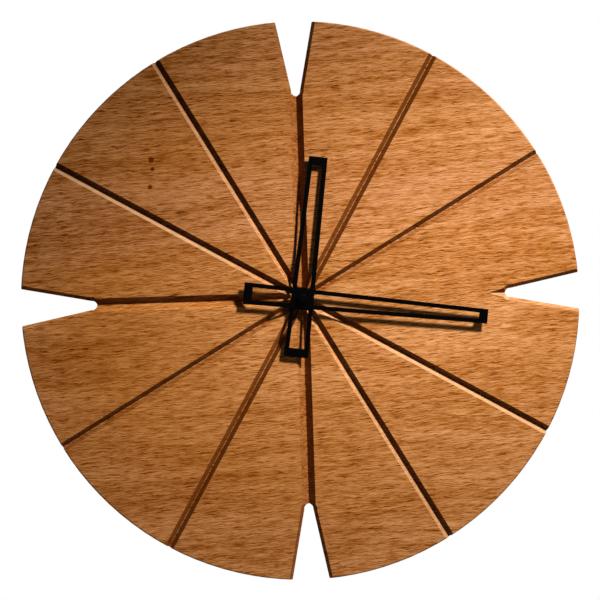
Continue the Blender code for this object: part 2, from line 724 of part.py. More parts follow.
def countersink_profile():
    """Hole for a screw's shank with a cone for its head."""
    shank = SCREW_SHANK_RADIUS + FIT_GAP
    slope = (SCREW_HEAD_RADIUS - SCREW_SHANK_RADIUS) / SCREW_HEAD_HEIGHT
    mouth = SCREW_HEAD_RADIUS + FIT_GAP + CUT_OVERRUN * slope
    return [
        (0.0, -CUT_OVERRUN), (mouth, -CUT_OVERRUN), (shank, SCREW_HEAD_HEIGHT),
        (shank, SCREW_HEAD_HEIGHT + CUT_OVERRUN), (0.0, SCREW_HEAD_HEIGHT + CUT_OVERRUN),
    ]


def hanger_tools(shaft):
    """Shallow seat of the hanger plate, room for a screw head behind it, and two screw holes."""
    rise = (0.0, HANGER_RISE)
    seat = stacked([(hanger_outline(FIT_GAP), -CUT_OVERRUN, HANGER_FRONT)])
    low = -KEYHOLE_SLOT_RADIUS - KEYHOLE_RISE
    outline = slot_outline(HEAD_SPACE_RADIUS, low, -KEYHOLE_SLOT_RADIUS)
    room = stacked([(outline, -CUT_OVERRUN, HANGER_FRONT + HEAD_SPACE_DEPTH)])
    tools = [
        add_tool("hanger_seat", seat, shaft, place=rise),
        add_tool("head_room", room, shaft, place=rise),
    ]
    hole = circle(SCREW_SHANK_RADIUS + FIT_GAP, SHAFT_SIDES)
    for height in screw_heights():
        mesh = stacked([(hole, -CUT_OVERRUN, SCREW_LENGTH + FIT_GAP)])
        tools.append(add_tool("screw_hole", mesh, shaft, place=(0.0, HANGER_RISE + height)))
    return tools


def make_hanger(shaft):
    """Keyhole plate and its two countersunk screws."""
    rise = (0.0, HANGER_RISE)
    plate = stacked([(hanger_outline(0.0), 0.0, HANGER_THICKNESS)], [keyhole_outline()])
    hanger = add_piece("hanger_plate", plate, "steel", shaft, place=rise)
    for name, height in zip(("hanger_screw_upper", "hanger_screw_lower"), screw_heights()):
        place = (0.0, HANGER_RISE + height)
        combine(hanger, turned(countersink_profile(), SHAFT_SIDES), "DIFFERENCE", place=place)
        mesh = turned(screw_profile(), SHAFT_SIDES)
        screw = add_piece(name, mesh, "steel", shaft, place=place)
        reach = SCREW_HEAD_RADIUS + CUT_OVERRUN
        half = SCREW_SLOT_WIDTH / 2
        slot = block(-reach, reach, -half, half, -CUT_OVERRUN, SCREW_SLOT_DEPTH)
        combine(screw, slot, "DIFFERENCE", place=place)


def open_hand(reach, tail, tip_width, tail_width, side_bar, rear, hole_radius):
    """Tapered bar that points to 12, open on both sides of its solid middle."""
    def half_width(height):
        share = (height + tail) / (reach + tail)
        return (tail_width + (tip_width - tail_width) * share) / 2

    def window(low, high):
        return [
            (side_bar - half_width(low), low), (half_width(low) - side_bar, low),
            (half_width(high) - side_bar, high), (side_bar - half_width(high), high),
        ]

    outline = [
        (-half_width(-tail), -tail), (half_width(-tail), -tail),
        (half_width(reach), reach), (-half_width(reach), reach),
    ]
    holes = [
        window(HUB_LENGTH / 2, reach - HAND_END_BAR),
        window(HAND_END_BAR - tail, -HUB_LENGTH / 2),
        circle(hole_radius, SHAFT_SIDES),
    ]
    return stacked([(outline, rear, rear + HAND_THICKNESS)], holes)


def make_hands(shaft):
    """Both hands at the time in the photo, and the cap nut over them."""
    hour = open_hand(
        HOUR_HAND_REACH, HOUR_HAND_TAIL, HOUR_HAND_TIP_WIDTH, HOUR_HAND_TAIL_WIDTH,
        HOUR_HAND_SIDE_BAR, HOUR_HAND_REAR, TUBE_RADIUS + FIT_GAP,
    )
    turn = (0.0, math.radians(HOUR_ANGLE), 0.0)
    add_piece("hour_hand", hour, "black_hands", shaft, rotation=turn)
    minute = open_hand(
        MINUTE_HAND_REACH, MINUTE_HAND_TAIL, MINUTE_HAND_TIP_WIDTH, MINUTE_HAND_TAIL_WIDTH,
        MINUTE_HAND_SIDE_BAR, MINUTE_HAND_REAR, MINUTE_STUB_RADIUS + FIT_GAP,
    )
    turn = (0.0, math.radians(MINUTE_ANGLE), 0.0)
    add_piece("minute_hand", minute, "black_hands", shaft, rotation=turn)
    front = CAP_NUT_REAR + CAP_NUT_HEIGHT
    bore = MINUTE_STUB_RADIUS + FIT_GAP
    centre = (CAP_NUT_RADIUS - CAP_NUT_ROUNDING, front - CAP_NUT_ROUNDING)
    edge = arc(centre, CAP_NUT_ROUNDING, 0, 90, CORNER_STEPS)
    profile = [(0.0, front - CAP_NUT_ROOF), (bore, front - CAP_NUT_ROOF), (bore, CAP_NUT_REAR)]
    profile += [(CAP_NUT_RADIUS, CAP_NUT_REAR)] + edge + [(0.0, front)]
    add_piece("hand_cap_nut", turned(profile, SHAFT_SIDES), "black_hands", shaft)


def make_clamp(shaft):
    """Bush, nut, washer and rubber gasket that hold the movement to the board."""
    bush = stacked(
        [
            (circle(BUSH_FLANGE_RADIUS, SHAFT_SIDES), FLANGE_REAR, CASE_FRONT),
            (circle(BUSH_RADIUS, SHAFT_SIDES), CASE_FRONT, BUSH_FRONT),
        ],
        [circle(BUSH_BORE, SHAFT_SIDES)],
    )
    add_piece("threaded_bush", bush, "brass", shaft)
    gasket = tube(GASKET_RADIUS, BUSH_HOLE, GASKET_REAR, GASKET_REAR + GASKET_THICKNESS)
    add_piece("rubber_gasket", gasket, "black_rubber", shaft)
    washer_radius = NUT_ACROSS_FLATS / 2 + FIT_GAP
    washer = tube(washer_radius, BUSH_HOLE, WASHER_REAR, WASHER_REAR + WASHER_THICKNESS)
    add_piece("nut_washer", washer, "brass", shaft)
    hexagon = circle(NUT_ACROSS_FLATS / 2 / math.cos(math.radians(30)), 6)
    bore = circle(BUSH_HOLE, SHAFT_SIDES)
    nut = stacked([(hexagon, NUT_REAR, NUT_REAR + NUT_THICKNESS)], [bore])
    add_piece("hex_nut", nut, "brass", shaft)


def make_minute_arbor(shaft):
    """Hollow-ended arbor of the minute hand, with the pinion that drives the motion wheel."""
    rear = CENTRE_REAR - PINION_OVERHANG
    pinion_rear = MOTION_REAR - PINION_OVERHANG
    pinion_front = MOTION_REAR + WHEEL_THICKNESS + PINION_OVERHANG
    to_shaft = math.radians(MOTION_ANGLE) + math.pi
    first = meshed_tooth(to_shaft, MOTION_WHEEL_TEETH, to_shaft, CANNON_TEETH)
    teeth = gear_outline(CANNON_TEETH, MOTION_DISTANCE, MOTION_WHEEL_TEETH, first)
    mesh = bmesh.new()
    foot = draw(mesh, circle(MINUTE_SPIGOT_RADIUS, SHAFT_SIDES), rear)
    socket = draw(mesh, circle(MINUTE_SOCKET_RADIUS, SHAFT_SIDES), rear)
    close(mesh, foot, socket)
    close(mesh, carry(mesh, socket, pinion_front))
    top = carry(mesh, foot, pinion_rear)
    top = step(mesh, top, teeth, pinion_rear, pinion_front)
    shoulder = MINUTE_HAND_REAR - FIT_GAP
    top = step(mesh, top, circle(MINUTE_ARBOR_RADIUS, SHAFT_SIDES), pinion_front, shoulder)
    tip = CAP_NUT_REAR + CAP_NUT_HEIGHT - CAP_NUT_ROOF - FIT_GAP
    top = step(mesh, top, circle(MINUTE_STUB_RADIUS, SHAFT_SIDES), shoulder, tip)
    close(mesh, top)
    add_piece("minute_arbor", mesh, "brass", shaft)


def make_motion_work(shaft):
    """Hour wheel with its tube, motion wheel, and the knob that sets the hands."""
    to_motion = math.radians(MOTION_ANGLE)
    hour_first = to_motion
    hour_teeth = gear_outline(HOUR_WHEEL_TEETH, MOTION_DISTANCE, MOTION_PINION_TEETH, hour_first)
    tube_front = HOUR_HAND_REAR + HAND_THICKNESS + PINION_OVERHANG
    hour = stacked(
        [
            (hour_teeth, HOUR_REAR, HOUR_REAR + WHEEL_THICKNESS),
            (circle(TUBE_RADIUS, SHAFT_SIDES), HOUR_REAR + WHEEL_THICKNESS, tube_front),
        ],
        [circle(TUBE_BORE, SHAFT_SIDES)],
    )
    add_piece("hour_wheel", hour, "white_plastic", shaft)
    wheel_first = to_motion + math.pi
    wheel_teeth = gear_outline(MOTION_WHEEL_TEETH, MOTION_DISTANCE, CANNON_TEETH, wheel_first)
    pinion_first = meshed_tooth(hour_first, HOUR_WHEEL_TEETH, to_motion, MOTION_PINION_TEETH)
    pinion = gear_outline(MOTION_PINION_TEETH, MOTION_DISTANCE, HOUR_WHEEL_TEETH, pinion_first)
    wheel_front = MOTION_REAR + WHEEL_THICKNESS
    motion = stacked(
        [
            (wheel_teeth, MOTION_REAR, wheel_front),
            (pinion, wheel_front, HOUR_REAR + WHEEL_THICKNESS + PINION_OVERHANG),
        ],
        [circle(STUD_RADIUS + PIVOT_GAP, PIVOT_SIDES)],
    )
    add_piece("motion_wheel", motion, "white_plastic", shaft, place=MOTION_PLACE)
    to_setting = math.radians(SETTING_ANGLE)
    setting_first = meshed_tooth(wheel_first, MOTION_WHEEL_TEETH, to_setting, SETTING_PINION_TEETH)
    make_setting_knob(shaft, setting_first)


def fluted_outline():
    """Round knob with shallow flutes."""
    points = []
    for index in range(2 * KNOB_FLUTES):
        radius = KNOB_RADIUS - KNOB_FLUTE_DEPTH * (index % 2)
        points.append(polar(180 * index / KNOB_FLUTES, radius))
    return points


def make_setting_knob(shaft, first_tooth):
    """Knob at the back, its shaft, and its pinion on the motion wheel."""
    teeth = gear_outline(SETTING_PINION_TEETH, MOTION_DISTANCE, MOTION_WHEEL_TEETH, first_tooth)
    knob_front = KNOB_WALL_SETBACK + KNOB_THICKNESS
    pinion_rear = MOTION_REAR - PINION_OVERHANG
    pinion_front = MOTION_REAR + WHEEL_THICKNESS + PINION_OVERHANG
    knob = stacked(
        [
            (fluted_outline(), KNOB_WALL_SETBACK, knob_front),
            (circle(SETTING_SHAFT_RADIUS, SHAFT_SIDES), knob_front, pinion_rear),
            (teeth, pinion_rear, pinion_front),
        ]
    )
    add_piece("setting_knob", knob, "white_plastic", shaft, place=SETTING_PLACE)


def arbored_wheel(wheel, pinion, wheel_rear, driven_rear):
    """Wheel with a pinion that reaches the wheel in front, on an arbor between the plates."""
    pivot = circle(PIVOT_RADIUS, PIVOT_SIDES)
    wheel_front = wheel_rear + WHEEL_THICKNESS
    pinion_front = driven_rear + WHEEL_THICKNESS + PINION_OVERHANG
    return stacked(
        [
            (pivot, BRIDGE_REAR - PINION_OVERHANG, wheel_rear),
            (wheel, wheel_rear, wheel_front),
            (pinion, wheel_front, pinion_front),
            (pivot, pinion_front, MIDDLE_FRONT),
        ]
    )


def make_train(shaft):
    """Centre, third, second and fifth wheels and the rotor's pinion, each meshed with the next."""
    to_third = math.radians(THIRD_ANGLE)
    to_shaft = to_third + math.pi
    to_fifth = math.radians(FIFTH_ANGLE)
    to_rotor = math.radians(ROTOR_ANGLE)
    centre_teeth = gear_outline(CENTRE_WHEEL_TEETH, TRAIN_DISTANCE, THIRD_PINION_TEETH, to_third)
    bore = [circle(MINUTE_SPIGOT_RADIUS + FIT_GAP, SHAFT_SIDES)]
    centre = stacked([(centre_teeth, CENTRE_REAR, CENTRE_REAR + WHEEL_THICKNESS)], bore)
    add_piece("centre_wheel", centre, "brass", shaft)

    third_pinion = gear_outline(
        THIRD_PINION_TEETH, TRAIN_DISTANCE, CENTRE_WHEEL_TEETH,
        meshed_tooth(to_third, CENTRE_WHEEL_TEETH, to_third, THIRD_PINION_TEETH),
    )
    third_teeth = gear_outline(THIRD_WHEEL_TEETH, TRAIN_DISTANCE, SECOND_PINION_TEETH, to_shaft)
    third = arbored_wheel(third_teeth, third_pinion, THIRD_REAR, CENTRE_REAR)
    add_piece("third_wheel", third, "white_plastic", shaft, place=THIRD_PLACE)

    second_pinion = gear_outline(
        SECOND_PINION_TEETH, TRAIN_DISTANCE, THIRD_WHEEL_TEETH,
        meshed_tooth(to_shaft, THIRD_WHEEL_TEETH, to_shaft, SECOND_PINION_TEETH),
    )
    second_teeth = gear_outline(SECOND_WHEEL_TEETH, TRAIN_DISTANCE, FIFTH_PINION_TEETH, to_fifth)
    second = arbored_wheel(second_teeth, second_pinion, SECOND_REAR, THIRD_REAR)
    add_piece("second_wheel", second, "white_plastic", shaft)

    fifth_pinion = gear_outline(
        FIFTH_PINION_TEETH, TRAIN_DISTANCE, SECOND_WHEEL_TEETH,
        meshed_tooth(to_fifth, SECOND_WHEEL_TEETH, to_fifth, FIFTH_PINION_TEETH),
    )
    fifth_teeth = gear_outline(FIFTH_WHEEL_TEETH, MOTOR_SPACING, ROTOR_TEETH, to_rotor)
    fifth = arbored_wheel(fifth_teeth, fifth_pinion, FIFTH_REAR, SECOND_REAR)
    add_piece("fifth_wheel", fifth, "white_plastic", shaft, place=FIFTH_PLACE)

    rotor_first = meshed_tooth(to_rotor, FIFTH_WHEEL_TEETH, to_rotor, ROTOR_TEETH)
    make_rotor(shaft, gear_outline(ROTOR_TEETH, MOTOR_SPACING, FIFTH_WHEEL_TEETH, rotor_first))


def make_rotor(shaft, teeth):
    """Pinion and collar of the rotor, and the ring magnet round the collar."""
    pivot = circle(PIVOT_RADIUS, PIVOT_SIDES)
    collar = circle(MAGNET_COLLAR_RADIUS, SHAFT_SIDES)
    teeth_rear = FIFTH_REAR - PINION_OVERHANG
    teeth_front = FIFTH_REAR + WHEEL_THICKNESS + PINION_OVERHANG
    collar_rear = SECOND_REAR - PINION_OVERHANG
    magnet_front = SECOND_REAR + MAGNET_THICKNESS
    pinion = stacked(
        [
            (pivot, BRIDGE_REAR - PINION_OVERHANG, teeth_rear),
            (teeth, teeth_rear, teeth_front),
            (pivot, teeth_front, collar_rear),
            (collar, collar_rear, magnet_front),
            (pivot, magnet_front, MIDDLE_FRONT),
        ]
    )
    add_piece("rotor_pinion", pinion, "white_plastic", shaft, place=ROTOR_PLACE)
    magnet = tube(MAGNET_RADIUS, MAGNET_COLLAR_RADIUS + FIT_GAP, SECOND_REAR, magnet_front)
    add_piece("rotor_magnet", magnet, "ferrite", shaft, place=ROTOR_PLACE)


def stator_outline():
    """Plate round the rotor with two arms that reach to the coil on its left."""
    x, z = ROTOR_PLACE
    half_arm = STATOR_ARM_WIDTH / 2
    left = COIL_X - CORE_TAB_HALF_WIDTH
    web_left = x - STATOR_WEB_HALF
    web_right = x + STATOR_WEB_HALF
    web_low = z - STATOR_WEB_HALF
    bend = COIL_X + COIL_RADIUS + STATOR_ARM_WIDTH
    return [
        (web_right, web_low), (web_right, STATOR_TOP), (left, STATOR_TOP),
        (left, UPPER_ARM - half_arm), (web_left, UPPER_ARM - half_arm),
        (web_left, web_low + half_arm), (bend, LOWER_ARM + half_arm),
        (left, LOWER_ARM + half_arm), (left, LOWER_ARM - half_arm),
        (bend + half_arm, LOWER_ARM - half_arm), (web_left + half_arm, web_low),
    ]


def core_outline():
    """Flat iron bar with a wide tab at each end."""
    half_arm = STATOR_ARM_WIDTH / 2 - FIT_GAP
    bar = CORE_HALF_WIDTH
    tab = CORE_TAB_HALF_WIDTH
    right = [
        (tab, LOWER_ARM - half_arm), (tab, LOWER_ARM + half_arm), (bar, LOWER_ARM + half_arm),
        (bar, UPPER_ARM - half_arm), (tab, UPPER_ARM - half_arm), (tab, UPPER_ARM + half_arm),
    ]
    return [(COIL_X + x, z) for x, z in right] + [(COIL_X - x, z) for x, z in reversed(right)]


def make_motor(shaft):
    """Stator plate, coil core, bobbin and winding."""
    arms = (LOWER_ARM, UPPER_ARM)
    sockets = [circle(SPIGOT_HOLE, PIVOT_SIDES, (COIL_X, height)) for height in arms]
    ring = circle(MAGNET_RADIUS + STATOR_AIR_GAP, SHAFT_SIDES, ROTOR_PLACE)
    plate = (stator_outline(), STATOR_REAR, STATOR_REAR + STATOR_THICKNESS)
    add_piece("stator", stacked([plate], sockets + [ring]), "steel", shaft)
    core = stacked([(core_outline(), CORE_REAR, CORE_REAR + CORE_THICKNESS)], sockets)
    add_piece("coil_core", core, "steel", shaft)
    low = LOWER_ARM + STATOR_ARM_WIDTH / 2 + RUN_GAP
    high = UPPER_ARM - STATOR_ARM_WIDTH / 2 - RUN_GAP
    half_width = CORE_HALF_WIDTH + FIT_GAP
    half_depth = CORE_THICKNESS / 2 + FIT_GAP
    flange = circle(COIL_RADIUS, SHAFT_SIDES)
    spool = circle(COIL_SPOOL_RADIUS, SHAFT_SIDES)
    inner_low = low + COIL_FLANGE_THICKNESS
    inner_high = high - COIL_FLANGE_THICKNESS
    bobbin = stacked(
        [(flange, low, inner_low), (spool, inner_low, inner_high), (flange, inner_high, high)],
        [rectangle(-half_width, half_width, -half_depth, half_depth)],
    )
    upright = {"place": (COIL_X, 0.0), "depth": COIL_DEPTH, "rotation": (-math.pi / 2, 0.0, 0.0)}
    add_piece("coil_bobbin", bobbin, "white_plastic", shaft, **upright)
    winding = tube(
        COIL_RADIUS - WINDING_SETBACK, COIL_SPOOL_RADIUS + FIT_GAP,
        inner_low + FIT_GAP, inner_high - FIT_GAP,
    )
    add_piece("coil_winding", winding, "copper_wire", shaft, **upright)


def board_posts():
    """Places of the two posts of the circuit board."""
    width = BOARD_RIGHT - BOARD_LEFT
    height = BOARD_HIGH - BOARD_LOW
    return [(BOARD_LEFT + x * width, BOARD_LOW + z * height) for x, z in BOARD_POST_SHARES]


def post(place, radius, shoulder, end):
    """Levels of a round post with a thinner spigot at its end."""
    spigot = circle(SPIGOT_RADIUS, PIVOT_SIDES, place)
    return [(circle(radius, PIVOT_SIDES, place), shoulder), (spigot, end)]


def case_posts():
    """Levels of the posts inside the front case, and of the stud of the motion wheel."""
    plate_end = MIDDLE_REAR - PINION_OVERHANG
    core_shoulder = CORE_REAR + CORE_THICKNESS + FIT_GAP
    coil_end = STATOR_REAR - PINION_OVERHANG
    board_end = BOARD_REAR - PINION_OVERHANG
    posts = [post(place, POST_RADIUS, MIDDLE_FRONT + FIT_GAP, plate_end) for place in PLATE_POSTS]
    for height in (LOWER_ARM, UPPER_ARM):
        posts.append(post((COIL_X, height), POST_RADIUS, core_shoulder, coil_end))
    for place in board_posts():
        posts.append(post(place, BRIDGE_POST_RADIUS, BOARD_FRONT + FIT_GAP, board_end))
    return posts + [[(circle(STUD_RADIUS, PIVOT_SIDES, MOTION_PLACE), MOTION_REAR)]]


def make_front_case(shaft):
    """Deep shell with the gear space above, the battery bay below, and the posts inside."""
    mesh = bmesh.new()
    outer = rounded_rectangle(
        -CASE_HALF - CASE_WALL, CASE_HALF + CASE_WALL, BAY_LOW - CASE_WALL, CAVITY_HIGH + CASE_WALL,
        CASE_CORNER_RADIUS,
    )
    outer_rear = draw(mesh, outer, REAR_SETBACK)
    cavity = rounded_rectangle(-CASE_HALF, CASE_HALF, CAVITY_LOW, CAVITY_HIGH, CAVITY_CORNER_RADIUS)
    cavity_rear = draw(mesh, cavity, REAR_SETBACK)
    bay_rear = draw(mesh, rectangle(-CASE_HALF, CASE_HALF, BAY_LOW, BAY_HIGH), REAR_SETBACK)
    close(mesh, outer_rear, cavity_rear, bay_rear)
    close(mesh, carry(mesh, bay_rear, BAY_FRONT))
    cavity_floor = carry(mesh, cavity_rear, FRONT_WALL_REAR)

    feet = [pin(mesh, levels, FRONT_WALL_REAR) for levels in case_posts()]
    hole = draw(mesh, circle(BUSH_HOLE, SHAFT_SIDES), FRONT_WALL_REAR)
    close(mesh, cavity_floor, hole, *feet)
    seat_rear = FLANGE_REAR - FIT_GAP
    seat = circle(BUSH_FLANGE_RADIUS + FIT_GAP, SHAFT_SIDES)
    mouth = step(mesh, carry(mesh, hole, seat_rear), seat, seat_rear, CASE_FRONT)
    close(mesh, carry(mesh, outer_rear, CASE_FRONT), mouth)
    case = add_piece("front_case", mesh, "black_plastic", shaft)
    slot_front = COVER_FRONT + CONTACT_WIDTH + 2 * FIT_GAP
    inner = BLADE_X - FIT_GAP
    high = CAVITY_LOW + CUT_OVERRUN
    for left, right in ((-CASE_HALF, -inner), (inner, CASE_HALF)):
        slot = block(left, right, BAY_HIGH - CUT_OVERRUN, high, 0.0, slot_front)
        combine(case, slot, "DIFFERENCE")


def make_rear_cover(shaft):
    """Lid over the gear space, with a sunk well for the setting knob."""
    lid = rounded_rectangle(
        -CASE_HALF + FIT_GAP, CASE_HALF - FIT_GAP, CAVITY_LOW + FIT_GAP, CAVITY_HIGH - FIT_GAP,
        CAVITY_CORNER_RADIUS,
    )
    well_bottom = WELL_FLOOR + WELL_WALL
    mesh = bmesh.new()
    rear = draw(mesh, lid, REAR_SETBACK)
    mouth = draw(mesh, circle(WELL_RADIUS, SHAFT_SIDES, SETTING_PLACE), REAR_SETBACK)
    close(mesh, rear, mouth)
    hole = draw(mesh, circle(SHAFT_HOLE, SHAFT_SIDES, SETTING_PLACE), WELL_FLOOR)
    close(mesh, carry(mesh, mouth, WELL_FLOOR), hole)
    outside = draw(mesh, circle(WELL_RADIUS + WELL_WALL, SHAFT_SIDES, SETTING_PLACE), COVER_FRONT)
    close(mesh, carry(mesh, rear, COVER_FRONT), outside)
    close(mesh, carry(mesh, outside, well_bottom), carry(mesh, hole, well_bottom))
    add_piece("rear_cover", mesh, "black_plastic", shaft)


def make_plates(shaft):
    """Middle plate on the case's posts, and the train bridge on the middle plate's posts."""
    mesh = bmesh.new()
    middle = round_hull(PLATE_POSTS + BRIDGE_POSTS + [ROTOR_PLACE], POST_RADIUS + PLATE_MARGIN)
    holes = [circle(SPIGOT_HOLE, PIVOT_SIDES, place) for place in PLATE_POSTS]
    arbors = [THIRD_PLACE, FIFTH_PLACE, ROTOR_PLACE]
    holes += [circle(PIVOT_HOLE, PIVOT_SIDES, place) for place in arbors]
    holes.append(circle(MINUTE_SPIGOT_RADIUS + FIT_GAP, SHAFT_SIDES))
    holes.append(circle(SHAFT_HOLE, SHAFT_SIDES, SETTING_PLACE))
    rear = draw(mesh, middle, MIDDLE_REAR)
    rear_holes = [draw(mesh, hole, MIDDLE_REAR) for hole in holes]
    feet = []
    end = BRIDGE_REAR - PINION_OVERHANG
    for place in BRIDGE_POSTS:
        levels = post(place, BRIDGE_POST_RADIUS, BRIDGE_FRONT + FIT_GAP, end)
        feet.append(pin(mesh, levels, MIDDLE_REAR))
    close(mesh, rear, *rear_holes, *feet)
    front_holes = [carry(mesh, hole, MIDDLE_FRONT) for hole in rear_holes]
    close(mesh, carry(mesh, rear, MIDDLE_FRONT), *front_holes)
    add_piece("middle_plate", mesh, "white_plastic", shaft)

    bridge = round_hull(BRIDGE_POSTS + [ROTOR_PLACE], BRIDGE_POST_RADIUS + PLATE_MARGIN)
    holes = [circle(SPIGOT_HOLE, PIVOT_SIDES, place) for place in BRIDGE_POSTS]
    holes += [circle(PIVOT_HOLE, PIVOT_SIDES, place) for place in arbors + [(0.0, 0.0)]]
    bridge_mesh = stacked([(bridge, BRIDGE_REAR, BRIDGE_FRONT)], holes)
    add_piece("train_bridge", bridge_mesh, "white_plastic", shaft)


def make_electronics(shaft):
    """Circuit board with its chip and quartz crystal."""
    holes = [circle(SPIGOT_HOLE, PIVOT_SIDES, place) for place in board_posts()]
    outline = rectangle(BOARD_LEFT, BOARD_RIGHT, BOARD_LOW, BOARD_HIGH)
    board = stacked([(outline, BOARD_REAR, BOARD_FRONT)], holes)
    add_piece("circuit_board", board, "green_board", shaft)
    middle = ((BOARD_LEFT + BOARD_RIGHT) / 2, (BOARD_LOW + BOARD_HIGH) / 2)
    half = CHIP_SIZE / 2
    chip_rear = BOARD_FRONT + FIT_GAP
    chip = block(-half, half, -half, half, chip_rear, chip_rear + CHIP_THICKNESS)
    add_piece("control_chip", chip, "black_plastic", shaft, place=middle)
    crystal = [
        (0.0, 0.0), (CRYSTAL_RADIUS, 0.0), (CRYSTAL_RADIUS, CRYSTAL_LENGTH), (0.0, CRYSTAL_LENGTH),
    ]
    crystal_height = middle[1] + half + FIT_GAP + CRYSTAL_RADIUS
    add_piece(
        "quartz_crystal", turned(crystal, PIVOT_SIDES), "steel", shaft,
        place=(middle[0] - CRYSTAL_LENGTH / 2, crystal_height),
        depth=BOARD_FRONT + FIT_GAP + CRYSTAL_RADIUS, rotation=(0.0, 0.0, math.pi / 2),
    )


def make_battery(shaft):
    """AA cell lying in its bay, its button to the right."""
    radius = BATTERY_DIAMETER / 2
    edge = BATTERY_EDGE
    body = BATTERY_LENGTH - BATTERY_NUB_LENGTH
    profile = [
        (0.0, 0.0), (radius - edge, 0.0), (radius, edge),
        (radius, body - edge), (radius - edge, body), (BATTERY_NUB_RADIUS, body),
        (BATTERY_NUB_RADIUS, BATTERY_LENGTH), (0.0, BATTERY_LENGTH),
    ]
    add_piece(
        "battery_cell", turned(profile, SHAFT_SIDES), "battery_sleeve", shaft,
        place=(-BATTERY_LENGTH / 2, BATTERY_HEIGHT),
        depth=BATTERY_DEPTH, rotation=(0.0, 0.0, math.pi / 2),
    )


def make_contacts(shaft):
    """Sprung strips at the battery's ends, each with a foot on the circuit board."""
    strip_rear = COVER_FRONT + FIT_GAP
    strip_front = strip_rear + CONTACT_WIDTH
    blade_low = BATTERY_HEIGHT - BATTERY_DIAMETER / 4
    blade_high = BATTERY_HEIGHT + BATTERY_DIAMETER / 4
    blade_front = BATTERY_DEPTH + BATTERY_DIAMETER / 4
    outer = BLADE_X + CONTACT_THICKNESS
    foot_front = BOARD_REAR - FIT_GAP
    foot_rear = foot_front - CONTACT_THICKNESS
    foot_low = BOARD_LOW + CONTACT_WIDTH
    foot_high = foot_low + CONTACT_WIDTH

    plus = block(BLADE_X, outer, blade_low, blade_high, strip_rear, blade_front)
    positive = add_piece("battery_contact_positive", plus, "steel", shaft)
    join_low = blade_high - CUT_OVERRUN
    strip = block(BLADE_X, outer, join_low, foot_high, strip_rear, strip_front)
    foot = block(BOARD_RIGHT - CONTACT_FOOT, outer, foot_low, foot_high, foot_rear, foot_front)
    combine(positive, strip, "UNION")
    combine(positive, foot, "UNION")

    minus = block(-outer, -BLADE_X, blade_low, blade_high, strip_rear, blade_front)
    negative = add_piece("battery_contact_negative", minus, "steel", shaft)
    strip_low = CAVITY_LOW + FIT_GAP
    strip_high = strip_low + CONTACT_THICKNESS
    strip_end = BOARD_LEFT + CONTACT_FOOT
    tab_high = BOARD_LOW + CONTACT_THICKNESS + CONTACT_WIDTH / 2
    riser = block(-outer, -BLADE_X, join_low, strip_high, strip_rear, strip_front)
    strip = block(-outer, strip_end, strip_low, strip_high, strip_rear, strip_front)
    tab = block(BOARD_LEFT + FIT_GAP, strip_end, strip_low, tab_high, foot_rear, foot_front)
    for shape in (riser, strip, tab):
        combine(negative, shape, "UNION")


def build():
    """Whole clock, hung on an empty at the shaft's axis in the plane of the wall."""
    for old in list(bpy.data.objects):
        bpy.data.objects.remove(old, do_unlink=True)
    shaft = bpy.data.objects.new("shaft_axis", None)
    bpy.context.collection.objects.link(shaft)
    shaft.location = (0.0, 0.0, -HANGER_RISE)
    make_dial(shaft)
    make_hanger(shaft)
    make_hands(shaft)
    make_clamp(shaft)
    make_minute_arbor(shaft)
    make_motion_work(shaft)
    make_train(shaft)
    make_motor(shaft)
    make_front_case(shaft)
    make_rear_cover(shaft)
    make_plates(shaft)
    make_electronics(shaft)
    make_battery(shaft)
    make_contacts(shaft)


build()
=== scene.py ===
import json
import math

import bmesh
import bpy
from mathutils import Euler, Matrix, Vector


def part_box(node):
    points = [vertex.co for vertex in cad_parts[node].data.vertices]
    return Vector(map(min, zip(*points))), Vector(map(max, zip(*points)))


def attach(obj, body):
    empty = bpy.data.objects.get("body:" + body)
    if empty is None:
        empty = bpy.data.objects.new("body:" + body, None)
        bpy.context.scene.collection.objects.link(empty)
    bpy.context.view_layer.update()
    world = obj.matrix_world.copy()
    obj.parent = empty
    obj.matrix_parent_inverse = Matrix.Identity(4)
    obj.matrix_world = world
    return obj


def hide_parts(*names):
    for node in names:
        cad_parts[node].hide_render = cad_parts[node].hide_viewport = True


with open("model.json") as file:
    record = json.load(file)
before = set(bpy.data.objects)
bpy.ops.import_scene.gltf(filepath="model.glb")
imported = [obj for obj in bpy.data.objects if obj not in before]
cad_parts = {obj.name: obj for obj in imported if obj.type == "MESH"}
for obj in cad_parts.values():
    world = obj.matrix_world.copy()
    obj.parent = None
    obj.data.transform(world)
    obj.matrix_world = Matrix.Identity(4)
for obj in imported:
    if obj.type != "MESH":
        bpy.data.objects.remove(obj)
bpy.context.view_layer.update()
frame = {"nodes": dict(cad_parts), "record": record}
nodes = frame["nodes"]

BEHAVIOUR = frame["record"]["behaviour"]
SLOTS = {part["node"]: part["material_slot"] for part in frame["record"]["subparts"]}
BODIES = {node: body for body, members in BEHAVIOUR["bodies"].items() for node in members}
TURNS = {joint["name"]: joint["pos_m"] for joint in BEHAVIOUR["joints"]}

# Places and sizes, in metres: the hands' shaft and the board's front face
SHAFT = Vector(TURNS["minute_hand_turn"])
FACE = -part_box("wooden_dial")[0].y

# Wide grooves: how deep their valleys lie, how far from the hub they start, where they lean
VALLEY_DEPTHS = (0.0035, 0.0038)
VALLEY_HALF_WIDTH = 0.0025
VALLEY_START = 0.006
LEAN_RIGHT = 0.00035
LEAN_UP = 0.00045
NINE_VALLEY_RISE = 0.00050

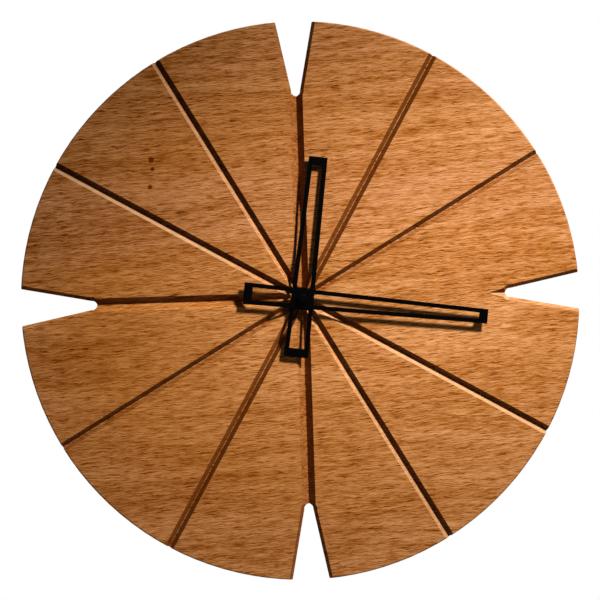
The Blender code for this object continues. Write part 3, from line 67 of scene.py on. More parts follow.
# Small turned and moulded pieces
BOARD_EASE = 0.00022
HAND_EASE = 0.00010
CAP_HOLE_RADIUS = 0.0015
CAP_ROOF = 0.0007
BATTERY_BUTTON_HEIGHT = 0.0012
WINDING_TURNS = 44
BUSH_BORE_RADIUS = 0.00292
BUSH_THREAD_RADIUS = 0.00386
BUSH_THREAD_START = 0.0013
BUSH_THREAD_PITCH = 0.0005
MARK_ROOT = 0.0001
WELL_RING_GAP = 0.0009
WELL_RING_WIDTH = 0.00095
WELL_RING_HEIGHT = 0.00080
ARROW_HEIGHT = 0.00060
ARROW_FROM_WELL = 0.0019
ARROW_HALF_WIDTH = 0.0003
ARROW_HEAD_HALF_WIDTH = 0.0011
ARROW_STARTS = (35.0, 215.0)
ARROW_SWEEP = 70.0
ARROW_HEAD_SWEEP = 22.0
RIB_FROM_SIDE = 0.0035
RIB_FROM_BOTTOM = 0.0030
RIB_COUNT = 5
RIB_LENGTH = 0.0150
RIB_WIDTH = 0.0006
RIB_PITCH = 0.0016
RIB_HEIGHT = 0.00070

# Millimetres in a metre, for patterns that are laid out in millimetres
MM = 1000.0

# Grain of the board, in millimetres from the shaft: its slope, the heart of the log, the knots
GRAIN_SLOPE = math.radians(3.5)
HEART_BELOW = 24.0
HEART_BEHIND = 64.0
HEART_SLOPE = 0.034
KNOTS = ((-78.5, 76.8, 1.1), (-77.9, 71.9, 0.8), (-79.5, 62.3, 0.9))
# Centre and half sizes, in millimetres, of the ellipse that sets the sapwood and a painted light
# falloff towards the rim
SAP_AND_FALLOFF_CENTRE = 35.0
SAP_AND_FALLOFF_HALF_WIDTH = 150.0
SAP_AND_FALLOFF_HALF_HEIGHT = 105.0
PALE_BAND_HEIGHT = 52.0

# What the patterns of the grain add to its tone, from 0 for dark to 1 for pale
FIBRE_SHARE = 0.45
DASH_SHARE = 0.45
STREAK_SHARE = 0.18
BAND_SHARE = 0.23
CLOUD_SHARE = 0.12
TONE_START = -0.287
DEEP_TONE = 0.367

# Colours of the wood, in the heart of the log and in its sapwood, whose mix also paints brighter
# light on the right
DEEP_HEART, DEEP_SAP = (0.110, 0.0200, 0.0020), (0.160, 0.0340, 0.0040)
DARK_HEART, DARK_SAP = (0.296, 0.0780, 0.0030), (0.383, 0.1140, 0.0100)
PALE_HEART, PALE_SAP = (0.594, 0.232, 0.0600), (0.737, 0.342, 0.135)
PALE_BAND = (0.645, 0.298, 0.148)
PALE_EDGE = (0.69, 0.350, 0.170)
# Darker colour of end grain, also used as painted shade on the walls of the grooves that run
# towards the lamp
END_GRAIN_AND_SHADE = (0.61, 0.145, 0.016)
# Pale colour painted on cut walls that face the lamp, as a painted sheen
PAINTED_SHEEN = (0.56, 0.33, 0.17)

# Sleeve of the battery, in millimetres from its ends: band, line, marks and bare ends
BAND_FROM, BAND_TO = 9.0, 13.0
LINE_FROM, LINE_TO = 14.0, 14.6
PLUS_FROM_END = 5.6
MARK_HALF_LENGTH = 1.5
MARK_HALF_WIDTH = 0.30
MINUS_FROM, MINUS_TO = 3.6, 6.6
BARE_RADIUS = 6.05

# Camera and lamps: degrees, metres, watts
CAMERA_PLACE = (-0.0157345, -0.54465, -0.0828865)
CAMERA_TURN = (91.1349, 1.8359, -1.5594)
SENSOR_WIDTH = 36.0
IMAGE_WIDTH_PIXELS = 600
LENS_PIXELS = 971.452
KEY_WATTS = 50.6
KEY_RADIUS = 0.055
KEY_CONE = 50.4
KEY_BEARING, KEY_HEIGHT, KEY_DISTANCE = 38.0, 32.5, 0.80
KEY_TARGET = SHAFT + Vector((-0.030, -FACE, -0.215))
BACK_WATTS = 14.0
BACK_SIZE = 0.6
BACK_PLACE = (-0.35, 0.75, 0.45)
FILL_STRENGTH = 0.030
FLOOR_HEIGHT = -0.46
FLOOR_RADIUS = 0.5
FLOOR_FADE = (0.10, 0.49)


class Amount:
    """Number, vector or colour that varies over a surface; sums on it add Math nodes."""

    def __init__(self, finish, socket):
        self.finish = finish
        self.socket = socket

    def __add__(self, other):
        return self.finish.math("ADD", self, other)

    def __radd__(self, other):
        return self.finish.math("ADD", other, self)

    def __sub__(self, other):
        return self.finish.math("SUBTRACT", self, other)

    def __rsub__(self, other):
        return self.finish.math("SUBTRACT", other, self)

    def __mul__(self, other):
        return self.finish.math("MULTIPLY", self, other)

    def __rmul__(self, other):
        return self.finish.math("MULTIPLY", other, self)


class Finish:
    """Material of nodes round one Principled shader."""

    def __init__(self, name, **sockets):
        self.material = bpy.data.materials.new(name)
        self.material.use_nodes = True
        self.tree = self.material.node_tree
        self.shader = self.tree.nodes["Principled BSDF"]
        self.give(**sockets)
        self.place = self.node("ShaderNodeTexCoord", {}, {}, "Object")

    def feed(self, socket, value):
        """Set a socket to a plain value, or link an amount to it."""
        if isinstance(value, Amount):
            self.tree.links.new(value.socket, socket)
        else:
            socket.default_value = value

    def give(self, **sockets):
        """Set the shader's sockets, with _ for each space in their names."""
        for name, value in sockets.items():
            self.feed(self.shader.inputs[name.replace("_", " ")], value)

    def node(self, kind, settings, sockets, output=0):
        """Any node: its type, its settings, then what goes into its sockets."""
        made = self.tree.nodes.new(kind)
        for name, value in settings.items():
            setattr(made, name, value)
        for name, value in sockets.items():
            self.feed(made.inputs[name], value)
        return Amount(self, made.outputs[output])

    def math(self, operation, *values):
        """Math node on numbers and amounts."""
        return self.node("ShaderNodeMath", {"operation": operation}, dict(enumerate(values)))

    def span(self, across, along):
        """Length of a line from its two parts at right angles."""
        return self.math("SQRT", across * across + along * along)

    def highest(self, first, *others):
        """The highest of several amounts."""
        for other in others:
            first = self.math("MAXIMUM", first, other)
        return first

    def ramp(self, value, low, high, start=0.0, end=1.0):
        """Smooth step from start to end as a value goes from low to high."""
        return self.node(
            "ShaderNodeMapRange", {"interpolation_type": "SMOOTHSTEP"},
            {"Value": value, "From Min": low, "From Max": high, "To Min": start, "To Max": end},
        )

    def mix(self, share, first, second):
        """Colour between two colours."""
        first = first if isinstance(first, Amount) else (*first, 1.0)
        second = second if isinstance(second, Amount) else (*second, 1.0)
        return self.node(
            "ShaderNodeMix", {"data_type": "RGBA"}, {0: share, 6: first, 7: second}, 2
        )

    def dim(self, colour, share):
        """Colour made darker or lighter by an amount."""
        return self.node(
            "ShaderNodeVectorMath", {"operation": "SCALE"}, {0: colour, "Scale": share}
        )

    def parts(self, vector):
        """The x, y and z of a vector."""
        made = self.node("ShaderNodeSeparateXYZ", {}, {"Vector": vector})
        return [Amount(self, socket) for socket in made.socket.node.outputs]

    def joined(self, x, y, z):
        """Vector from its x, y and z."""
        return self.node("ShaderNodeCombineXYZ", {}, {"X": x, "Y": y, "Z": z})

    def sized(self, vector, scale, turn=(0.0, 0.0, 0.0), shift=(0.0, 0.0, 0.0)):
        """Vector moved, turned and scaled, as a Mapping node does."""
        return self.node(
            "ShaderNodeMapping", {},
            {"Vector": vector, "Location": shift, "Rotation": turn, "Scale": scale},
        )

    def noise(self, vector, scale=1.0, detail=2.0, roughness=0.5):
        """Soft noise round 0.5."""
        return self.node(
            "ShaderNodeTexNoise", {},
            {"Vector": vector, "Scale": scale, "Detail": detail, "Roughness": roughness},
        )

    def bump(self, height, distance, strength=1.0):
        """Normals of a surface with a height in metres times the distance."""
        self.give(Normal=self.node(
            "ShaderNodeBump", {}, {"Strength": strength, "Distance": distance, "Height": height}
        ))


def growth_bands(finish, tilted):
    """Growth rings cut lengthwise, with the heart of the log behind the board."""
    x, depth, z = finish.parts(tilted)
    sway = finish.noise(finish.sized(tilted, (0.011, 0.010, 0.030)), detail=1.0) - 0.5
    wander = finish.noise(
        finish.sized(tilted, (0.05, 0.05, 0.16), shift=(7.0, 3.0, 1.0)), detail=2.0
    ) - 0.5
    above = z + HEART_BELOW + sway * 26.0 + wander * 3.0
    before = HEART_BEHIND + depth - x * HEART_SLOPE
    ring = finish.span(above, before)
    rings = finish.noise(finish.joined(x * 0.005, 0.0, ring * 0.20), detail=3.0, roughness=0.6)
    return finish.ramp(rings, 0.36, 0.64), wander


def drawn_out(finish, place, cells, detail, roughness, start=0.0):
    """Noise drawn out along the grain, from its cells per millimetre each way."""
    x, depth, run = place
    along, inward, across = cells
    return finish.noise(
        finish.joined(x * along + start, depth * inward, run * across),
        detail=detail, roughness=roughness,
    )


def fibres(finish, tilted, wander):
    """Fine fibres and short dark dashes that wave a little, and long faint streaks."""
    x, depth, z = finish.parts(tilted)
    curl = finish.noise(finish.joined(x * 0.26, depth * 0.3, z * 0.34), detail=1.0) - 0.5
    place = (x, depth, z + curl * 1.45 + wander * 2.0)
    fibre = drawn_out(finish, place, (0.095, 0.5, 2.05), 2.0, 0.75)
    dash = drawn_out(finish, place, (0.125, 0.6, 2.20), 2.0, 0.7, start=40.0)
    streak = drawn_out(finish, place, (0.012, 0.20, 0.62), 3.0, 0.7)
    return (
        finish.ramp(fibre, 0.38, 0.58), finish.ramp(dash, 0.37, 0.50),
        finish.ramp(streak, 0.36, 0.60),
    )


def knots(finish, place):
    """Small dark pin knots in a row at the upper left."""
    spots = []
    for x, z, size in KNOTS:
        away = finish.node(
            "ShaderNodeVectorMath", {"operation": "DISTANCE"}, {0: place, 1: (x, 0.0, z)}, "Value"
        )
        spots.append(1.0 - finish.ramp(away, size * 0.45, size * 1.9))
    return finish.highest(*spots)


def grain_colour(finish, tone, x, z, outer, cloud, wander):
    """Colour of the grain: paler and greyer in the sapwood, in a band across and at the edge; the
    sapwood mix also paints the light as brighter on the right.
    """
    # Sapwood mix, also painted light: paler and greyer to the right, darker towards the left and
    # the rim
    sap_and_painted_light = finish.ramp(x + cloud * 90.0 - outer * 90.0 + 45.0, -130.0, 130.0)
    off_band = finish.math("ABSOLUTE", z - PALE_BAND_HEIGHT + wander * 18.0)
    band = 1.0 - finish.ramp(off_band, 6.0, 34.0)
    deep = finish.mix(sap_and_painted_light, DEEP_HEART, DEEP_SAP)
    dark = finish.mix(sap_and_painted_light, DARK_HEART, DARK_SAP)
    pale = finish.mix(sap_and_painted_light, PALE_HEART, PALE_SAP)
    pale = finish.mix(band * 0.45, pale, PALE_BAND)
    pale = finish.mix(finish.ramp(outer, 0.70, 1.10) * 0.35, pale, PALE_EDGE)
    grain = finish.mix((tone - DEEP_TONE) * (1.0 / (1.0 - DEEP_TONE)), dark, pale)
    return finish.mix(finish.ramp(tone, 0.0, DEEP_TONE), deep, grain)


def cut_faces(finish, grain, x, z):
    """Colour and shade of cuts, with painted light: end grain is darker, partly as painted shade;
    cuts that look down and left, away from the lamp, get painted shade, and cuts that look up and
    right, towards it, a pale painted sheen.
    """
    facing_x, facing_y, facing_z = finish.parts(
        finish.node("ShaderNodeTexCoord", {}, {}, "Normal")
    )
    # End grain darkening, partly painted shade: its axis is turned so that it darkens most the
    # walls of the grooves that run towards the lamp
    sideways = finish.math("ABSOLUTE", facing_x * 0.94 - facing_z * 0.42)
    end = finish.ramp(sideways, 0.42, 0.85)
    # Painted sheen: pale colour on cut walls that look up and right, towards the lamp, less near
    # the hub
    painted_sheen = finish.ramp(facing_z, 0.20, 0.50) * finish.ramp(facing_x, 0.05, 0.30)
    painted_sheen = painted_sheen * finish.ramp(finish.span(x, z), 0.0, 70.0, 0.25, 1.0)
    wood = finish.mix(end * end * 0.75, grain, END_GRAIN_AND_SHADE)
    wood = finish.mix(painted_sheen * 0.66, wood, PAINTED_SHEEN)
    # Painted shade: cut walls that look down and left, away from the lamp, are made darker
    slant = finish.ramp(finish.math("ABSOLUTE", facing_x), 0.10, 0.30)
    painted_shade = finish.ramp(0.0 - facing_x * 0.35 - facing_z * 0.85, 0.25, 0.55)
    painted_shade = painted_shade * (slant * 0.20 + 0.55)
    return wood, (1.0 - end * 0.73) * (1.0 - painted_shade)


def beech_finish():
    """Oiled beech: growth rings cut lengthwise and fine wavy fibres along the grain."""
    finish = Finish("oiled_beech", Specular_IOR_Level=0.035)
    place = finish.sized(finish.place, (MM,) * 3, shift=(0.0, FACE * MM, -SHAFT.z * MM))
    tilted = finish.sized(place, (1.0, 1.0, 1.0), turn=(0.0, GRAIN_SLOPE, 0.0))
    x, depth, z = finish.parts(tilted)
    band, wander = growth_bands(finish, tilted)
    fibre, dash, streak = fibres(finish, tilted, wander)
    cloud = finish.noise(
        finish.sized(tilted, (0.018, 0.02, 0.035), shift=(2.0, 9.0, 4.0)), detail=2.0
    ) - 0.5
    tone = fibre * FIBRE_SHARE + dash * DASH_SHARE + streak * STREAK_SHARE
    tone = tone + band * BAND_SHARE + cloud * CLOUD_SHARE + TONE_START
    tone = tone - knots(finish, place) * 0.9
    aside = (x - SAP_AND_FALLOFF_CENTRE) * (1.0 / SAP_AND_FALLOFF_HALF_WIDTH)
    # outer grows from a point right of the shaft towards the rim; it sets the sapwood mix and a
    # painted light falloff
    outer = finish.ramp(finish.span(aside, z * (1.0 / SAP_AND_FALLOFF_HALF_HEIGHT)), 0.25, 1.35)
    grain = grain_colour(finish, tone, x, z, outer, cloud, wander)
    wood, shade = cut_faces(finish, grain, x, z)
    # The base colour is scaled by painted shade from the cuts and by a painted light falloff,
    # darker towards the rim
    finish.give(
        Base_Color=finish.dim(wood, shade * (1.09 - outer * 0.18)),
        Roughness=0.52 - fibre * 0.08,
    )
    finish.bump(fibre * 0.5 + dash * 0.5, 0.00008, 0.6)
    return finish.material


def coated_finish():
    """Satin black coat with a faint grain."""
    finish = Finish("black_hands", Specular_IOR_Level=0.012)
    grain = finish.noise(finish.sized(finish.place, (1800.0,) * 3), detail=2.0)
    cloud = finish.noise(finish.sized(finish.place, (60.0,) * 3), detail=2.0)
    finish.give(
        Base_Color=finish.mix(cloud, (0.0006, 0.0006, 0.0006), (0.0013, 0.0013, 0.0013)),
        Roughness=0.40 + grain * 0.12,
    )
    finish.bump(grain, 0.00001, 0.4)
    return finish.material


def metal_finish(name, dark, pale, roughness, brushed=(900.0, 900.0, 60.0)):
    """Bare or plated metal with fine marks and a little tarnish."""
    finish = Finish(name, Metallic=1.0)
    marks = finish.noise(finish.sized(finish.place, brushed), detail=3.0)
    cloud = finish.noise(finish.sized(finish.place, (140.0,) * 3), detail=2.0)
    finish.give(
        Base_Color=finish.mix(cloud, dark, pale),
        Roughness=roughness + marks * 0.14,
    )
    finish.bump(marks, 0.000012, 0.5)
    return finish.material


def moulded_finish(name, dark, pale, roughness, grain_size=1400.0):
    """Moulded plastic or rubber with a fine spark-eroded grain."""
    finish = Finish(name, Specular_IOR_Level=0.35)
    grain = finish.noise(finish.sized(finish.place, (grain_size,) * 3), detail=2.0)
    cloud = finish.noise(finish.sized(finish.place, (90.0,) * 3), detail=2.0)
    finish.give(
        Base_Color=finish.mix(cloud, dark, pale),
        Roughness=roughness + grain * 0.15,
    )
    finish.bump(grain, 0.00002, 0.5)
    return finish.material


def sleeve_finish():
    """Printed sleeve of a battery: dark body, pale band, plus and minus marks, bare ends."""
    finish = Finish("battery_sleeve")
    low, high = (Vector(corner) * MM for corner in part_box("battery_cell"))
    middle = (low + high) / 2
    x, y, z = finish.parts(finish.sized(finish.place, (MM,) * 3))
    edge, wide_edge = 0.06, 0.1
    from_end = high.x - x
    from_start = x - low.x
    across = finish.math("ABSOLUTE", z - middle.z)
    along = finish.math("ABSOLUTE", from_end - PLUS_FROM_END)

    def within(value, limit):
        return 1.0 - finish.ramp(value, limit, limit + edge)

    def between(value, start, end, width):
        rise = finish.ramp(value, start, start + width)
        return rise * (1.0 - finish.ramp(value, end, end + width))

    band = between(from_end, BAND_FROM, BAND_TO, wide_edge)
    line = between(from_end, LINE_FROM, LINE_TO, wide_edge)
    upright = within(along, MARK_HALF_WIDTH) * within(across, MARK_HALF_LENGTH)
    level = within(across, MARK_HALF_WIDTH) * within(along, MARK_HALF_LENGTH)
    minus = between(from_start, MINUS_FROM, MINUS_TO, edge) * within(across, MARK_HALF_WIDTH)
    printed = finish.highest(upright, level, minus, band, line)
    from_axis = finish.span(y - middle.y, z - middle.z)
    bare = 1.0 - finish.ramp(from_axis, BARE_RADIUS, BARE_RADIUS + wide_edge)
    cloud = finish.noise(finish.sized(finish.place, (90.0,) * 3), detail=2.0)
    scuffs = finish.noise(finish.sized(finish.place, (300.0, 2400.0, 2400.0)), detail=3.0)
    body = finish.mix(cloud, (0.022, 0.040, 0.085), (0.034, 0.058, 0.115))
    sleeve = finish.mix(printed, body, (0.52, 0.53, 0.55))
    finish.give(
        Base_Color=finish.mix(bare, sleeve, (0.42, 0.42, 0.43)),
        Metallic=bare,
        Roughness=0.26 + scuffs * 0.14,
    )
    finish.bump(scuffs, 0.000008, 0.4)
    return finish.material


FINISHES = {
    "oiled_beech": beech_finish(),
    "black_hands": coated_finish(),
    "brass": metal_finish("brass", (0.60, 0.40, 0.13), (0.74, 0.53, 0.21), 0.24),
    "steel": metal_finish("steel", (0.24, 0.24, 0.25), (0.36, 0.36, 0.37), 0.30),
    "black_plastic": moulded_finish("black_plastic", (0.014,) * 3, (0.022, 0.022, 0.024), 0.42),
    "white_plastic": moulded_finish("white_plastic", (0.66, 0.65, 0.60), (0.74, 0.73, 0.69), 0.38),
    "black_rubber": moulded_finish("black_rubber", (0.014,) * 3, (0.024,) * 3, 0.66),
    "copper_wire": metal_finish("copper_wire", (0.55, 0.20, 0.07), (0.68, 0.28, 0.12), 0.28),
    "ferrite": moulded_finish("ferrite", (0.040, 0.040, 0.044), (0.060, 0.060, 0.064), 0.45),
    "green_board": moulded_finish("green_board", (0.012, 0.13, 0.045), (0.022, 0.18, 0.065), 0.34),
    "battery_sleeve": sleeve_finish(),
}


def copy_of(node):
    """Copy of a CAD node's shape with its doubles merged and its flat faces whole."""
    mesh = bmesh.new()
    mesh.from_mesh(nodes[node].data)
    bmesh.ops.remove_doubles(mesh, verts=mesh.verts, dist=0.000004)
    bmesh.ops.dissolve_limit(
        mesh, angle_limit=math.radians(0.6), verts=mesh.verts, edges=mesh.edges
    )
    return mesh


def soften(mesh, width, sharpest=24.0, segments=2):
    """Round off the sharp edges of a shape."""
    edges = [
        edge for edge in mesh.edges
        if edge.is_manifold and edge.calc_face_angle() > math.radians(sharpest)
    ]
    bmesh.ops.bevel(
        mesh, geom=edges, offset=width, offset_type="OFFSET", affect="EDGES",
        segments=segments, profile=0.5, material=-1, clamp_overlap=True,
    )


def lathe(profile, start, direction, segments=96):
    """Round shape from pairs of a distance along its axis and a radius."""
    along = Vector(direction)
    across = along.orthogonal().normalized()
    mesh = bmesh.new()
    line = [mesh.verts.new(start + along * reach + across * radius) for reach, radius in profile]
    edges = [mesh.edges.new(pair) for pair in zip(line, line[1:])]
    bmesh.ops.spin(
        mesh, geom=line + edges, cent=start, axis=along, angle=math.tau, steps=segments,
        use_merge=True,
    )
    bmesh.ops.remove_doubles(mesh, verts=mesh.verts, dist=0.000001)
    bmesh.ops.recalc_face_normals(mesh, faces=mesh.faces)
    return mesh


def strip(outline, rear, front, width=0.0):
    """Flat raised shape from an outline of x and z, with eased edges."""
    mesh = bmesh.new()
    verts = [mesh.verts.new((x, -rear, z)) for x, z in outline]
    face = mesh.faces.new(verts)
    grown = bmesh.ops.extrude_face_region(mesh, geom=[face])["geom"]
    moved = [item for item in grown if isinstance(item, bmesh.types.BMVert)]
    bmesh.ops.translate(mesh, vec=(0.0, rear - front, 0.0), verts=moved)
    bmesh.ops.recalc_face_normals(mesh, faces=mesh.faces)
    if width:
        soften(mesh, width)
    return mesh


def polar(centre, radius, angle):
    """Point across the back at a distance and an angle in degrees up from +X."""
    turn = math.radians(angle)
    return (centre[0] + radius * math.cos(turn), centre[1] + radius * math.sin(turn))


def arc(centre, radius, start, end, steps):
    """Points on an arc across the back, between two angles in degrees."""
    return [
        polar(centre, radius, start + (end - start) * step / steps) for step in range(steps + 1)
    ]


def piece(name, mesh, node, sharp=38.0, whole=True):
    """Finished piece that moves with a CAD node's body, and stands for the node if whole."""
    data = bpy.data.meshes.new(name)
    mesh.to_mesh(data)
    mesh.free()
    data.shade_smooth()
    data.set_sharp_from_angle(angle=math.radians(sharp))
    made = bpy.data.objects.new(name, data)
    bpy.context.scene.collection.objects.link(made)
    made.data.materials.append(FINISHES[SLOTS[node]])
    even = made.modifiers.new("even_shading", "WEIGHTED_NORMAL")
    even.keep_sharp = True
    body = BODIES[node]
    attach(made, body)
    if whole:
        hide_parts(node)


def lean_valleys(mesh):
    """Move the valleys of the wide grooves aside: 12 and 6 to the right, 9 up and shallower."""
    shallowest, deepest = VALLEY_DEPTHS
    for vert in mesh.verts:
        off = vert.co - SHAFT
        if not shallowest < FACE + vert.co.y < deepest:
            continue
        if abs(off.x) < VALLEY_HALF_WIDTH and abs(off.z) > VALLEY_START:
            vert.co.x += LEAN_RIGHT
        elif off.x < -VALLEY_START and abs(off.z) < VALLEY_HALF_WIDTH:
            vert.co.z += LEAN_UP
            vert.co.y -= NINE_VALLEY_RISE


def colour_frame():
    """Give every CAD node the finish of its slot."""
    for name, node in nodes.items():
        node.data.materials.clear()
        node.data.materials.append(FINISHES[SLOTS[name]])


def make_board():
    """Wooden board with its carved edges eased by sanding."""
    mesh = copy_of("wooden_dial")
    lean_valleys(mesh)
    soften(mesh, BOARD_EASE)
    piece("carved_board", mesh, "wooden_dial")


def make_hands():
    """Both hands with slightly eased edges."""
    for node in ("hour_hand", "minute_hand"):
        mesh = copy_of(node)
        soften(mesh, HAND_EASE)
        piece("finished_" + node, mesh, node)


def make_cap_nut():
    """Round cap that holds the minute hand, with a rounded top over a blind hole."""
    low, high = (Vector(corner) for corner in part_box("hand_cap_nut"))
    radius = (high.x - low.x) / 2
    height = high.y - low.y
    ceiling = height - CAP_ROOF
    profile = [
        (ceiling, 0.0), (ceiling, CAP_HOLE_RADIUS), (0.0, CAP_HOLE_RADIUS), (0.0, radius * 0.93),
        (0.00012, radius), (height - 0.00075, radius), (height - 0.0005, radius * 0.985),
        (height - 0.0003, radius * 0.94), (height - 0.00014, radius * 0.86),
        (height - 0.00004, radius * 0.74), (height, radius * 0.58), (height, 0.0),
    ]
    start = Vector((SHAFT.x, high.y, SHAFT.z))
    piece("cap_nut", lathe(profile, start, (0, -1, 0)), "hand_cap_nut")


def make_battery():
    """AA cell with rolled sleeve ends, a recessed ring at each end and a button."""
    low, high = (Vector(corner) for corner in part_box("battery_cell"))
    radius = min(high.y - low.y, high.z - low.z) / 2
    length = high.x - low.x
    body = length - BATTERY_BUTTON_HEIGHT
    profile = [
        (0.0, 0.0), (0.0, 0.0043), (0.00012, 0.0046), (0.00055, 0.00475), (0.00055, 0.0059),
        (0.00030, 0.00615), (0.00012, 0.0065), (0.00010, 0.0068), (0.00025, radius - 0.00015),
        (0.00060, radius), (body - 0.0009, radius), (body - 0.0005, radius - 0.00002),
        (body - 0.00015, radius - 0.00015), (body, radius - 0.00045), (body - 0.00002, 0.0064),
        (body - 0.00025, 0.0061), (body - 0.00055, 0.0058), (body - 0.00055, 0.0039),
        (body - 0.00025, 0.0033), (body, 0.00295), (length - 0.00035, 0.00272),
        (length - 0.00010, 0.0026), (length, 0.0023), (length, 0.0),
    ]
    start = Vector((low.x, (low.y + high.y) / 2, (low.z + high.z) / 2))
    piece("battery", lathe(profile, start, (1, 0, 0), 128), "battery_cell", sharp=30.0)


def make_winding():
    """Coil of thin copper wire, one rounded ridge for each of its outer turns."""
    low, high = (Vector(corner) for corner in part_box("coil_winding"))
    outer = (high.x - low.x) / 2
    inner = outer * 0.82
    length = high.z - low.z
    ridge = ((0.08, 0.985), (0.30, 0.997), (0.50, 1.0), (0.70, 0.997), (0.92, 0.985))
    profile = [(0.0, inner)]
    for turn in range(WINDING_TURNS):
        for share, rise in ridge:
            profile.append(((turn + share) * length / WINDING_TURNS, outer * rise))
    profile += [(length, inner), (0.0, inner)]
    start = Vector(((low.x + high.x) / 2, (low.y + high.y) / 2, low.z))
    piece("winding", lathe(profile, start, (0, 0, 1), 48), "coil_winding", sharp=60.0)


def make_bush():
    """Threaded bush through the board, with its flange behind and a fine thread."""
    low, high = (Vector(corner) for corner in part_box("threaded_bush"))
    flange = (high.x - low.x) / 2
    reach = high.y - low.y
    bore, thread = BUSH_BORE_RADIUS, BUSH_THREAD_RADIUS
    root = thread * 0.94
    profile = [(0.0, bore), (0.0, flange * 0.97), (0.00010, flange), (0.00050, flange)]
    profile += [(0.0006, flange * 0.97), (0.0006, thread * 0.96), (0.0012, root)]
    for turn in range(int((reach - 0.0018) / BUSH_THREAD_PITCH)):
        profile.append((BUSH_THREAD_START + turn * BUSH_THREAD_PITCH, root))
        profile.append((BUSH_THREAD_START + (turn + 0.5) * BUSH_THREAD_PITCH, thread))
    profile += [(reach - 0.0003, thread * 0.97), (reach, thread * 0.91), (reach, bore), (0.0, bore)]
    start = Vector((SHAFT.x, high.y, SHAFT.z))
    piece("bush", lathe(profile, start, (0, -1, 0), 64), "threaded_bush", sharp=50.0)


def make_well_ring(centre, surface, well):
    """Raised ring round the setting knob's well."""
    brow = WELL_RING_HEIGHT - 0.00020
    ring = [
        (0.0004, well - 0.00010), (-brow, well), (-WELL_RING_HEIGHT, well + 0.00020),
        (-WELL_RING_HEIGHT, well + WELL_RING_WIDTH - 0.00020), (-brow, well + WELL_RING_WIDTH),
        (0.0004, well + WELL_RING_WIDTH), (0.0004, well - 0.00010),
    ]
    start = Vector((centre[0], surface, centre[1]))
    piece("well_ring", lathe(ring, start, (0, -1, 0), 96), "rear_cover", whole=False)


def make_turning_arrows(centre, rear, well):
    """Two curved arrows round the well, which show how the knob turns."""
    for number, start in enumerate(ARROW_STARTS):
        end = start + ARROW_SWEEP
        middle = well + ARROW_FROM_WELL
        inner = arc(centre, middle - ARROW_HALF_WIDTH, start, end, 14)
        outer = arc(centre, middle + ARROW_HALF_WIDTH, start, end, 14)
        head = [
            polar(centre, middle + ARROW_HEAD_HALF_WIDTH, end),
            polar(centre, middle, end + ARROW_HEAD_SWEEP),
            polar(centre, middle - ARROW_HEAD_HALF_WIDTH, end),
        ]
        mesh = strip(outer + head + inner[::-1], rear + MARK_ROOT, rear - ARROW_HEIGHT)
        piece(f"turning_arrow_{number + 1}", mesh, "rear_cover", whole=False)


def make_grip_ribs(low, rear):
    """Ribs along the bottom of the cover, for a thumb."""
    left = low.x + RIB_FROM_SIDE
    right = left + RIB_LENGTH
    for number in range(RIB_COUNT):
        bottom = low.z + RIB_FROM_BOTTOM + number * RIB_PITCH
        top = bottom + RIB_WIDTH
        outline = [(left, bottom), (right, bottom), (right, top), (left, top)]
        mesh = strip(outline, rear + MARK_ROOT, rear - RIB_HEIGHT, 0.00015)
        piece(f"grip_rib_{number + 1}", mesh, "rear_cover", whole=False)


def make_cover_marks():
    """Raised ring, turning arrows and ribs moulded on the rear cover."""
    low, high = (Vector(corner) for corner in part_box("rear_cover"))
    knob_low, knob_high = (Vector(corner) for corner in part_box("setting_knob"))
    centre = ((knob_low.x + knob_high.x) / 2, (knob_low.z + knob_high.z) / 2)
    well = (knob_high.x - knob_low.x) / 2 + WELL_RING_GAP
    make_well_ring(centre, high.y, well)
    make_turning_arrows(centre, -high.y, well)
    make_grip_ribs(low, -high.y)


# How far the edges of each remaining piece are eased, in metres, and in how many steps
EASED = {
    "hanger_plate": (0.00015, 2), "hanger_screw_upper": (0.00010, 2),
    "hanger_screw_lower": (0.00010, 2), "rubber_gasket": (0.00015, 2), "nut_washer": (0.00008, 2),
    "hex_nut": (0.00015, 2), "minute_arbor": (0.00004, 1), "hour_wheel": (0.00004, 1),
    "motion_wheel": (0.00004, 1), "setting_knob": (0.00010, 2), "centre_wheel": (0.00004, 1),
    "third_wheel": (0.00004, 1), "second_wheel": (0.00004, 1), "fifth_wheel": (0.00004, 1),
    "rotor_pinion": (0.00004, 1), "rotor_magnet": (0.00008, 2), "stator": (0.00005, 1),
    "coil_core": (0.00005, 1), "coil_bobbin": (0.00008, 2), "front_case": (0.00020, 2),
    "rear_cover": (0.00020, 2), "middle_plate": (0.00008, 1), "train_bridge": (0.00008, 1),
    "circuit_board": (0.00006, 1), "control_chip": (0.00010, 2), "quartz_crystal": (0.00012, 2),
    "battery_contact_positive": (0.00006, 1), "battery_contact_negative": (0.00006, 1),
}


def make_eased():
    """Every other piece with its edges eased as its process leaves them."""
    for node, (width, segments) in EASED.items():
        mesh = copy_of(node)
        soften(mesh, width, sharpest=30.0, segments=segments)
        piece("finished_" + node, mesh, node)


def make_camera():
    """Camera close in front, a little below and to the left of the hands."""
    data = bpy.data.cameras.new("front_view")
    data.sensor_width = SENSOR_WIDTH
    data.lens = LENS_PIXELS / IMAGE_WIDTH_PIXELS * SENSOR_WIDTH
    camera = bpy.data.objects.new("front_view", data)
    bpy.context.scene.collection.objects.link(camera)
    turn = Euler([math.radians(angle) for angle in CAMERA_TURN]).to_matrix().to_4x4()
    camera.matrix_world = Matrix.Translation(CAMERA_PLACE) @ turn
    bpy.context.scene.camera = camera


def hang_lamp(name, data, place, target):
    """Lamp at a place, turned so that it shines at a target."""
    lamp = bpy.data.objects.new(name, data)
    bpy.context.scene.collection.objects.link(lamp)
    lamp.location = place
    lamp.rotation_euler = (target - lamp.location).to_track_quat("-Z", "Y").to_euler()


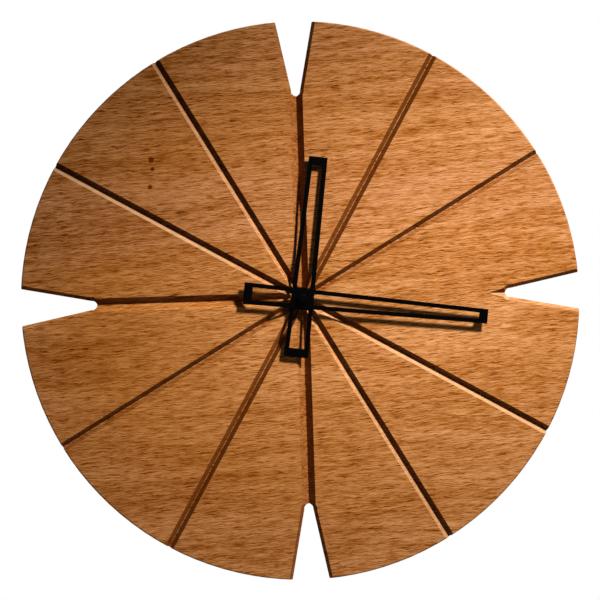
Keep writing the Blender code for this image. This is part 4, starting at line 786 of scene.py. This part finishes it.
def around(bearing, height, distance):
    """Place at a clock bearing and a height in degrees above the face, out from the shaft."""
    along = distance * math.cos(math.radians(height))
    return SHAFT + Vector((
        along * math.sin(math.radians(bearing)),
        -FACE - distance * math.sin(math.radians(height)),
        along * math.cos(math.radians(bearing)),
    ))


def make_lamps():
    """Hard lamp above right in front, and a wide soft one for the back."""
    key = bpy.data.lights.new("key_lamp", "SPOT")
    key.energy = KEY_WATTS
    key.shadow_soft_size = KEY_RADIUS
    key.spot_size = math.radians(KEY_CONE)
    key.spot_blend = 1.0
    hang_lamp("key_lamp", key, around(KEY_BEARING, KEY_HEIGHT, KEY_DISTANCE), KEY_TARGET)
    back = bpy.data.lights.new("back_lamp", "AREA")
    back.shape = "RECTANGLE"
    back.size = back.size_y = BACK_SIZE
    back.energy = BACK_WATTS
    hang_lamp("back_lamp", back, BACK_PLACE, SHAFT)


def make_surroundings():
    """White room to be seen and to shine in the pieces, which gives little light itself."""
    world = bpy.data.worlds.new("studio")
    bpy.context.scene.world = world
    world.use_nodes = True
    tree = world.node_tree
    fill = tree.nodes["Background"]
    white = tree.nodes.new("ShaderNodeBackground")
    for background, strength in ((fill, FILL_STRENGTH), (white, 1.0)):
        background.inputs["Color"].default_value = (1.0, 1.0, 1.0, 1.0)
        background.inputs["Strength"].default_value = strength
    path = tree.nodes.new("ShaderNodeLightPath")
    seen = path.outputs["Is Camera Ray"]
    for kind in ("Is Glossy Ray", "Is Transmission Ray"):
        either = tree.nodes.new("ShaderNodeMath")
        either.operation = "MAXIMUM"
        tree.links.new(seen, either.inputs[0])
        tree.links.new(path.outputs[kind], either.inputs[1])
        seen = either.outputs[0]
    mixed = tree.nodes.new("ShaderNodeMixShader")
    tree.links.new(seen, mixed.inputs["Fac"])
    tree.links.new(fill.outputs["Background"], mixed.inputs[1])
    tree.links.new(white.outputs["Background"], mixed.inputs[2])
    tree.links.new(mixed.outputs["Shader"], tree.nodes["World Output"].inputs["Surface"])


def make_floor():
    """Plain pale floor well below the clock, which fades out towards its edge."""
    mesh = bmesh.new()
    bmesh.ops.create_circle(mesh, cap_ends=True, segments=96, radius=FLOOR_RADIUS)
    bmesh.ops.translate(mesh, vec=(0.0, 0.0, FLOOR_HEIGHT), verts=mesh.verts)
    data = bpy.data.meshes.new("floor")
    mesh.to_mesh(data)
    mesh.free()
    floor = bpy.data.objects.new("floor", data)
    bpy.context.scene.collection.objects.link(floor)
    finish = Finish("pale_floor", Base_Color=(0.86, 0.86, 0.86, 1.0), Roughness=0.9)
    x, y, z = finish.parts(finish.place)
    finish.give(Alpha=1.0 - finish.ramp(finish.span(x, y), *FLOOR_FADE))
    data.materials.append(finish.material)


colour_frame()
make_board()
make_hands()
make_cap_nut()
make_battery()
make_winding()
make_bush()
make_cover_marks()
make_eased()

make_camera()
make_lamps()
make_surroundings()
make_floor()

view = bpy.context.scene.view_settings
view.view_transform = "Standard"
